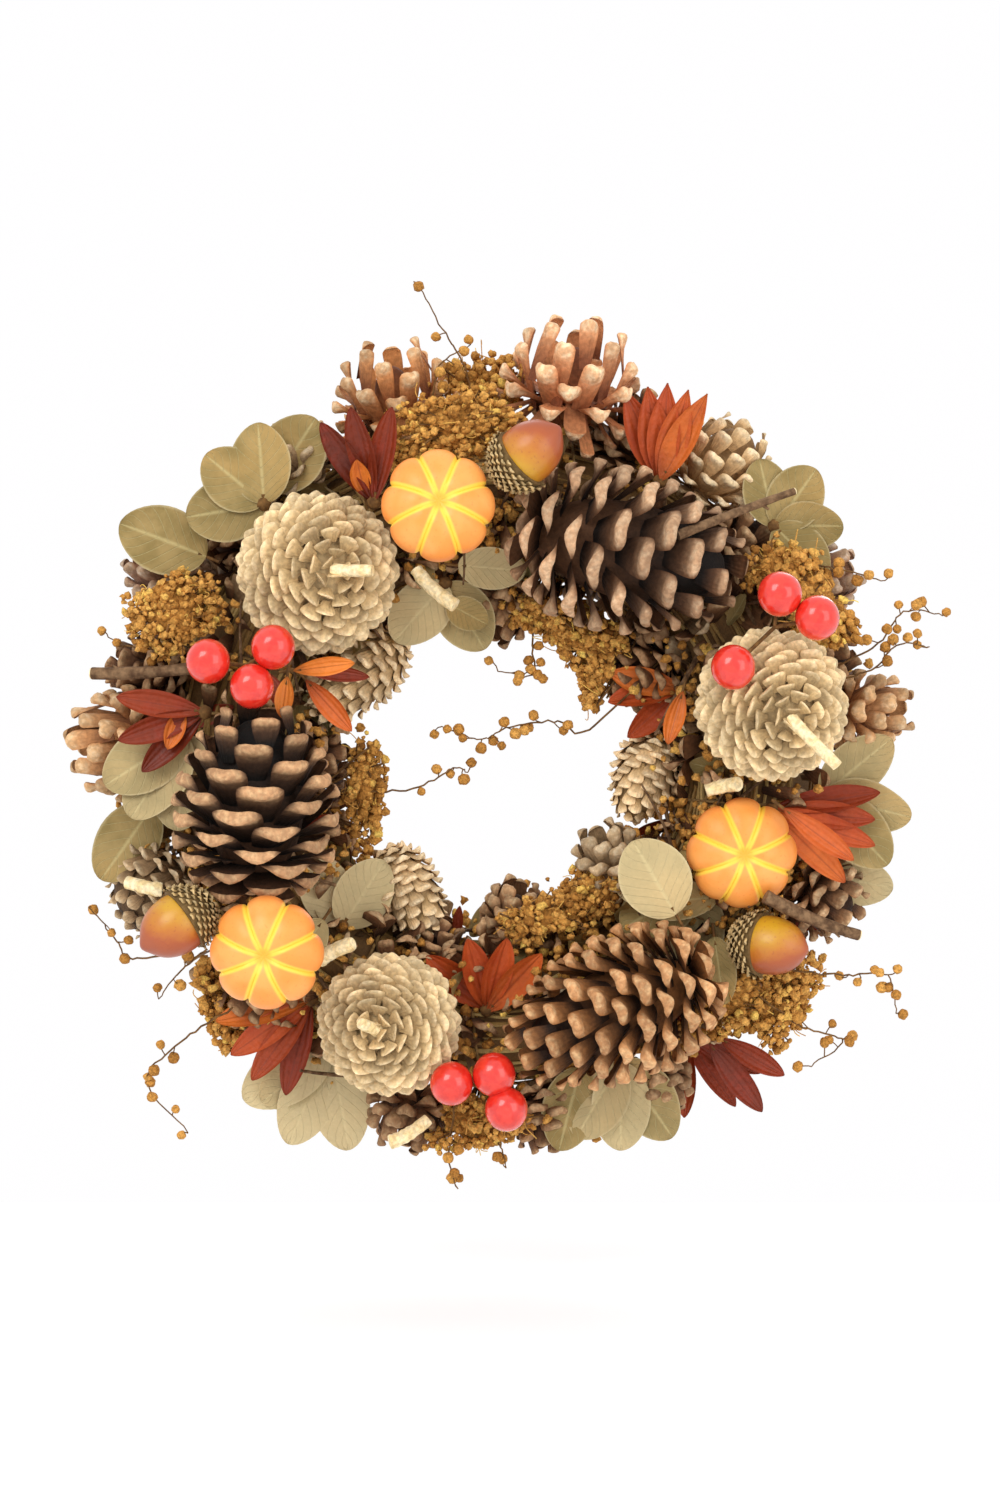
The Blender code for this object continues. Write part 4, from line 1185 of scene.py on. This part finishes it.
def build_loose_leaves():
    """Single leaves between the sprigs."""
    for table, finish, slot, outline, cup in (
            (LOOSE_RUST, RUST, "rust_leaf", POINTED_LEAF, 0.5),
            (LOOSE_GREEN, EUCALYPTUS, "eucalyptus_leaf", ROUND_LEAF, 0.1)):
        for seed, row in enumerate(table):
            name, clock, offset, depth, length, width, turn, lean, color = row
            rng = np.random.default_rng(seed + 500)
            leaf = leaf_shape(length * MM, width * MM, *outline, cup, rng.uniform(0.0, 0.12), 0.02,
                              rng.normal(0, 0.15))
            pile = Pile()
            pile.add(leaf, variety=color)
            pile.add_wire(-5 * MM * UP, 3 * MM * UP, 0.5 * MM * FRONT, 5, 0.6 * MM, finish=1)
            pile.turn(aimed(turn, lean), on_ring(clock, offset, depth))
            pile.to_object("loose_leaf_" + name, [finish, STEM], slot, 70)


def build_twigs():
    """Cut twigs with pale ends."""
    for seed, (name, start, end, first, last) in enumerate(TWIGS):
        rng = np.random.default_rng(seed + 600)
        pale = name.startswith("peg")
        start, end = on_ring(*start), on_ring(*end)
        line = curved_line(start, end, rng.normal(0, 1.0 * MM, 3), 14)
        radii = np.linspace(first, last, 14) * MM * rng.uniform(0.92, 1.08, 14)
        heading = unit(line[-1] - line[-2])
        pile = Pile()
        pile.add(tube(line, radii, 12))
        cut = [end - heading * 0.3 * MM, end + heading * 0.4 * MM]
        pile.add(tube(cut, radii[-1] * 0.92, 12), finish=1)
        for knot in () if pale else (line[4], line[9]):
            side = unit(np.cross(heading, FRONT) + rng.normal(0, 0.3, 3))
            pile.add_wire(knot, knot + (side + heading) * 3 * MM, np.zeros(3), 4,
                          np.array((0.9, 0.7, 0.6, 0.4)) * MM, 7)
        pile.to_object(name, [CUT_WOOD if pale else BARK, CUT_WOOD], "round_cone")


def build_sprays():
    """Wiry stems with round seed heads that stand out of the wreath."""
    bobble = ball(12, 9, rough_bump(np.random.default_rng(8), 0.10))
    for seed, (name, places, count) in enumerate(SPRAYS):
        rng = np.random.default_rng(seed + 700)
        line = smooth_line([on_ring(*place) for place in places], 9)
        line[1:] += rng.normal(0, 0.25 * MM, (len(line) - 1, 3))
        pile = Pile()
        pile.add(tube(line, np.linspace(*STEM_RADII, len(line)), 5), finish=1)
        picks = np.linspace(len(line) * STEM_BARE, len(line) - 1, count).astype(int)
        for pick in picks:
            side = rng.normal(0, 1, 3) * (1, 0.5, 1)
            end = line[pick] + unit(side) * rng.uniform(1.8, 5.2) * MM
            pile.add_wire(line[pick], end, rng.normal(0, 0.4 * MM, 3), 4, 0.22 * MM, 4, finish=1)
            pile.add(bobble, random_turns(rng, 1), [end], [rng.uniform(1.5, 2.1) * MM],
                     rng.uniform(0.15, 0.6))
        pile.to_object("spray_" + name, [BUDS, STEM], "dried_buds", 80)


def random_ring_spots(rng, count, low_mm, high_mm):
    """Places over the ring's front and sides, with the outward direction at each.

    The outer side at the top stays free for the hanging loop's swing.
    """
    clocks = rng.uniform(0, 360, count)
    sections = rng.uniform(0.0, math.pi, count)
    near_loop = np.minimum(clocks, 360 - clocks) < LOOP_SWING_HALF
    sections = np.where(near_loop & (sections < math.pi / 2), math.pi - sections, sections)
    lifts = rng.uniform(low_mm, high_mm, count) * MM
    places, skins, below = (np.array([ring_point(*row) for row in zip(clocks, sections, height)])
                            for height in (lifts, lifts * 0, lifts * 0 - 5 * MM))
    return places, units(skins - below)


def turns_along(directions, rng):
    """Rotations that turn Z to each direction, with a random roll."""
    return np.array([frame_along(direction) @ about(2, rng.uniform(0, FULL_TURN))
                     for direction in directions])


FILLING_TWIGS = 120
FILLING_BUDS = 1500         # in each of two pieces
BUD_KNOTS = 46              # places that they gather round


def build_filling():
    """Bark, bits of leaf, twigs and buds that close the gaps over the ring; the darkest bark flakes
    also stand in for the shade in those gaps.
    """
    rng = np.random.default_rng(41)
    # Painted shade in part: the dark brown flakes are bark and also stand in for the shade between the
    # pieces.
    for name, palette, count in (("filling_bark_and_shade", "brown", 400),
                                 ("filling_bark", "chunky", 260),
                                 ("filling_bark_pale", "grey", 110)):
        pile = Pile()
        places, outward = random_ring_spots(rng, count, -4, 4)
        directions = units(outward + rng.normal(0, 0.75, (count, 3)))
        length = rng.uniform(9, 17, count) * MM
        sizes = np.stack((length * rng.uniform(0.4, 0.65, count), length, length), 1)
        pile.add(scale_shape(0.18, 0.8, 0.06), turns_along(directions, rng), places, sizes,
                 rng.uniform(0, 1, count), door=True)
        pile.to_object(name, [CONE_FINISHES[palette]], "small_cone")

    for name, finish, slot, count, width, brightest in (
            ("filling_green", EUCALYPTUS, "eucalyptus_leaf", 64, 0.55, 0.6),
            ("filling_red", RUST, "rust_leaf", 40, 0.32, 0.5)):
        pile = Pile()
        places, outward = random_ring_spots(rng, count, -2, 3)
        directions = units(outward + rng.normal(0, 0.9, (count, 3)))
        leaf = leaf_shape(1.0, width, 1.0, 0.6, 0.3, 0.15, 0.03, 0.2)
        leaf.points[:, 1] *= 0.9
        pile.add(leaf, turns_along(directions, rng), places, rng.uniform(12, 22, count) * MM,
                 rng.uniform(0, brightest, count), door=True)
        pile.to_object(name, [finish], slot, 70)

    pile = Pile()
    for _ in range(FILLING_TWIGS):
        (start,), (outward,) = random_ring_spots(rng, 1, 0, 5)
        sideways = unit(np.cross(outward, rng.normal(0, 1, 3)))
        end = start + (sideways + outward * rng.uniform(0, 0.6)) * rng.uniform(14, 34) * MM
        line = curved_line(start, end, rng.normal(0, 1.5 * MM, 3), 7)
        line[:, 1] = np.minimum(line[:, 1], -1.5 * MM)
        pile.add(tube(line, np.linspace(0.9, 0.4, 7) * MM * rng.uniform(0.6, 1.3), 6),
                 variety=rng.uniform(0, 0.7))
    pile.to_object("filling_twigs", [BARK], "round_cone")

    for name in ("filling_buds_a", "filling_buds_b"):
        pile = Pile()
        knots, _ = random_ring_spots(rng, BUD_KNOTS, 2, 8)
        chosen = knots[rng.integers(0, BUD_KNOTS, FILLING_BUDS)]
        places = chosen + rng.normal(0, 6.5 * MM, (FILLING_BUDS, 3))
        places[:, 1] = np.clip(places[:, 1], -36 * MM, -2 * MM)
        scatter_buds(pile, places, 1.5, 4.0, rng)
        pile.to_object(name, [BUDS], "dried_buds", 80)


# ---------------- the set

CAMERA_DISTANCE = 1.272
CAMERA_SHIFT = np.array((2.8, 0.0, 2.4)) * MM


def build_set():
    """White surroundings, a pale floor, soft lights and the camera."""
    scene = bpy.context.scene
    scene.view_settings.view_transform = "Standard"
    world = bpy.data.worlds.new("studio")
    world.use_nodes = True
    background = world.node_tree.nodes["Background"]
    background.inputs["Color"].default_value = (1.0, 0.995, 1.0, 1)
    background.inputs["Strength"].default_value = 1.0
    scene.world = world

    paint = Finish("floor_paint", 0.9, 0.2)
    shade = paint.mix(paint.noise(120, 2), (246, 246, 247), (250, 250, 251))
    half, below = 0.62, 0.045
    floor_height = cad_box[0][2] - below
    corners = [(-half, -half, floor_height), (half, -half, floor_height),
               (half, 0.2, floor_height), (-half, 0.2, floor_height)]
    mesh = bpy.data.meshes.new("floor")
    mesh.from_pydata(corners, [], [(0, 1, 2, 3)])
    mesh.materials.append(paint.finish(shade))
    floor = bpy.data.objects.new("floor", mesh)
    scene.collection.objects.link(floor)

    for name, place, size, power in (("key", (-0.7, -1.3, 0.75), 0.9, 11),
                                     ("fill", (0.9, -1.1, 0.1), 1.0, 5),
                                     ("back", (0.2, 1.2, 0.7), 1.0, 7)):
        lamp = bpy.data.lights.new(name, "AREA")
        lamp.size = size
        lamp.energy = power
        light = bpy.data.objects.new(name, lamp)
        light.location = place
        aim = Vector(RING_MIDDLE.tolist()) - light.location
        light.rotation_euler = aim.to_track_quat("-Z", "Y").to_euler()
        scene.collection.objects.link(light)

    lens = bpy.data.cameras.new("camera")
    lens.lens = 85
    lens.sensor_width = 36
    camera = bpy.data.objects.new("camera", lens)
    camera.location = RING_MIDDLE + FRONT * CAMERA_DISTANCE + CAMERA_SHIFT
    camera.rotation_euler = (math.radians(90), 0, 0)
    scene.collection.objects.link(camera)
    scene.camera = camera


for build in (build_ring, build_hanger, build_cones, build_round_cones, build_sprigs,
              build_bud_clumps, build_pumpkins, build_acorns, build_berries, build_loose_cones,
              build_loose_clusters, build_loose_leaves, build_twigs, build_sprays, build_filling,
              build_set):
    build()
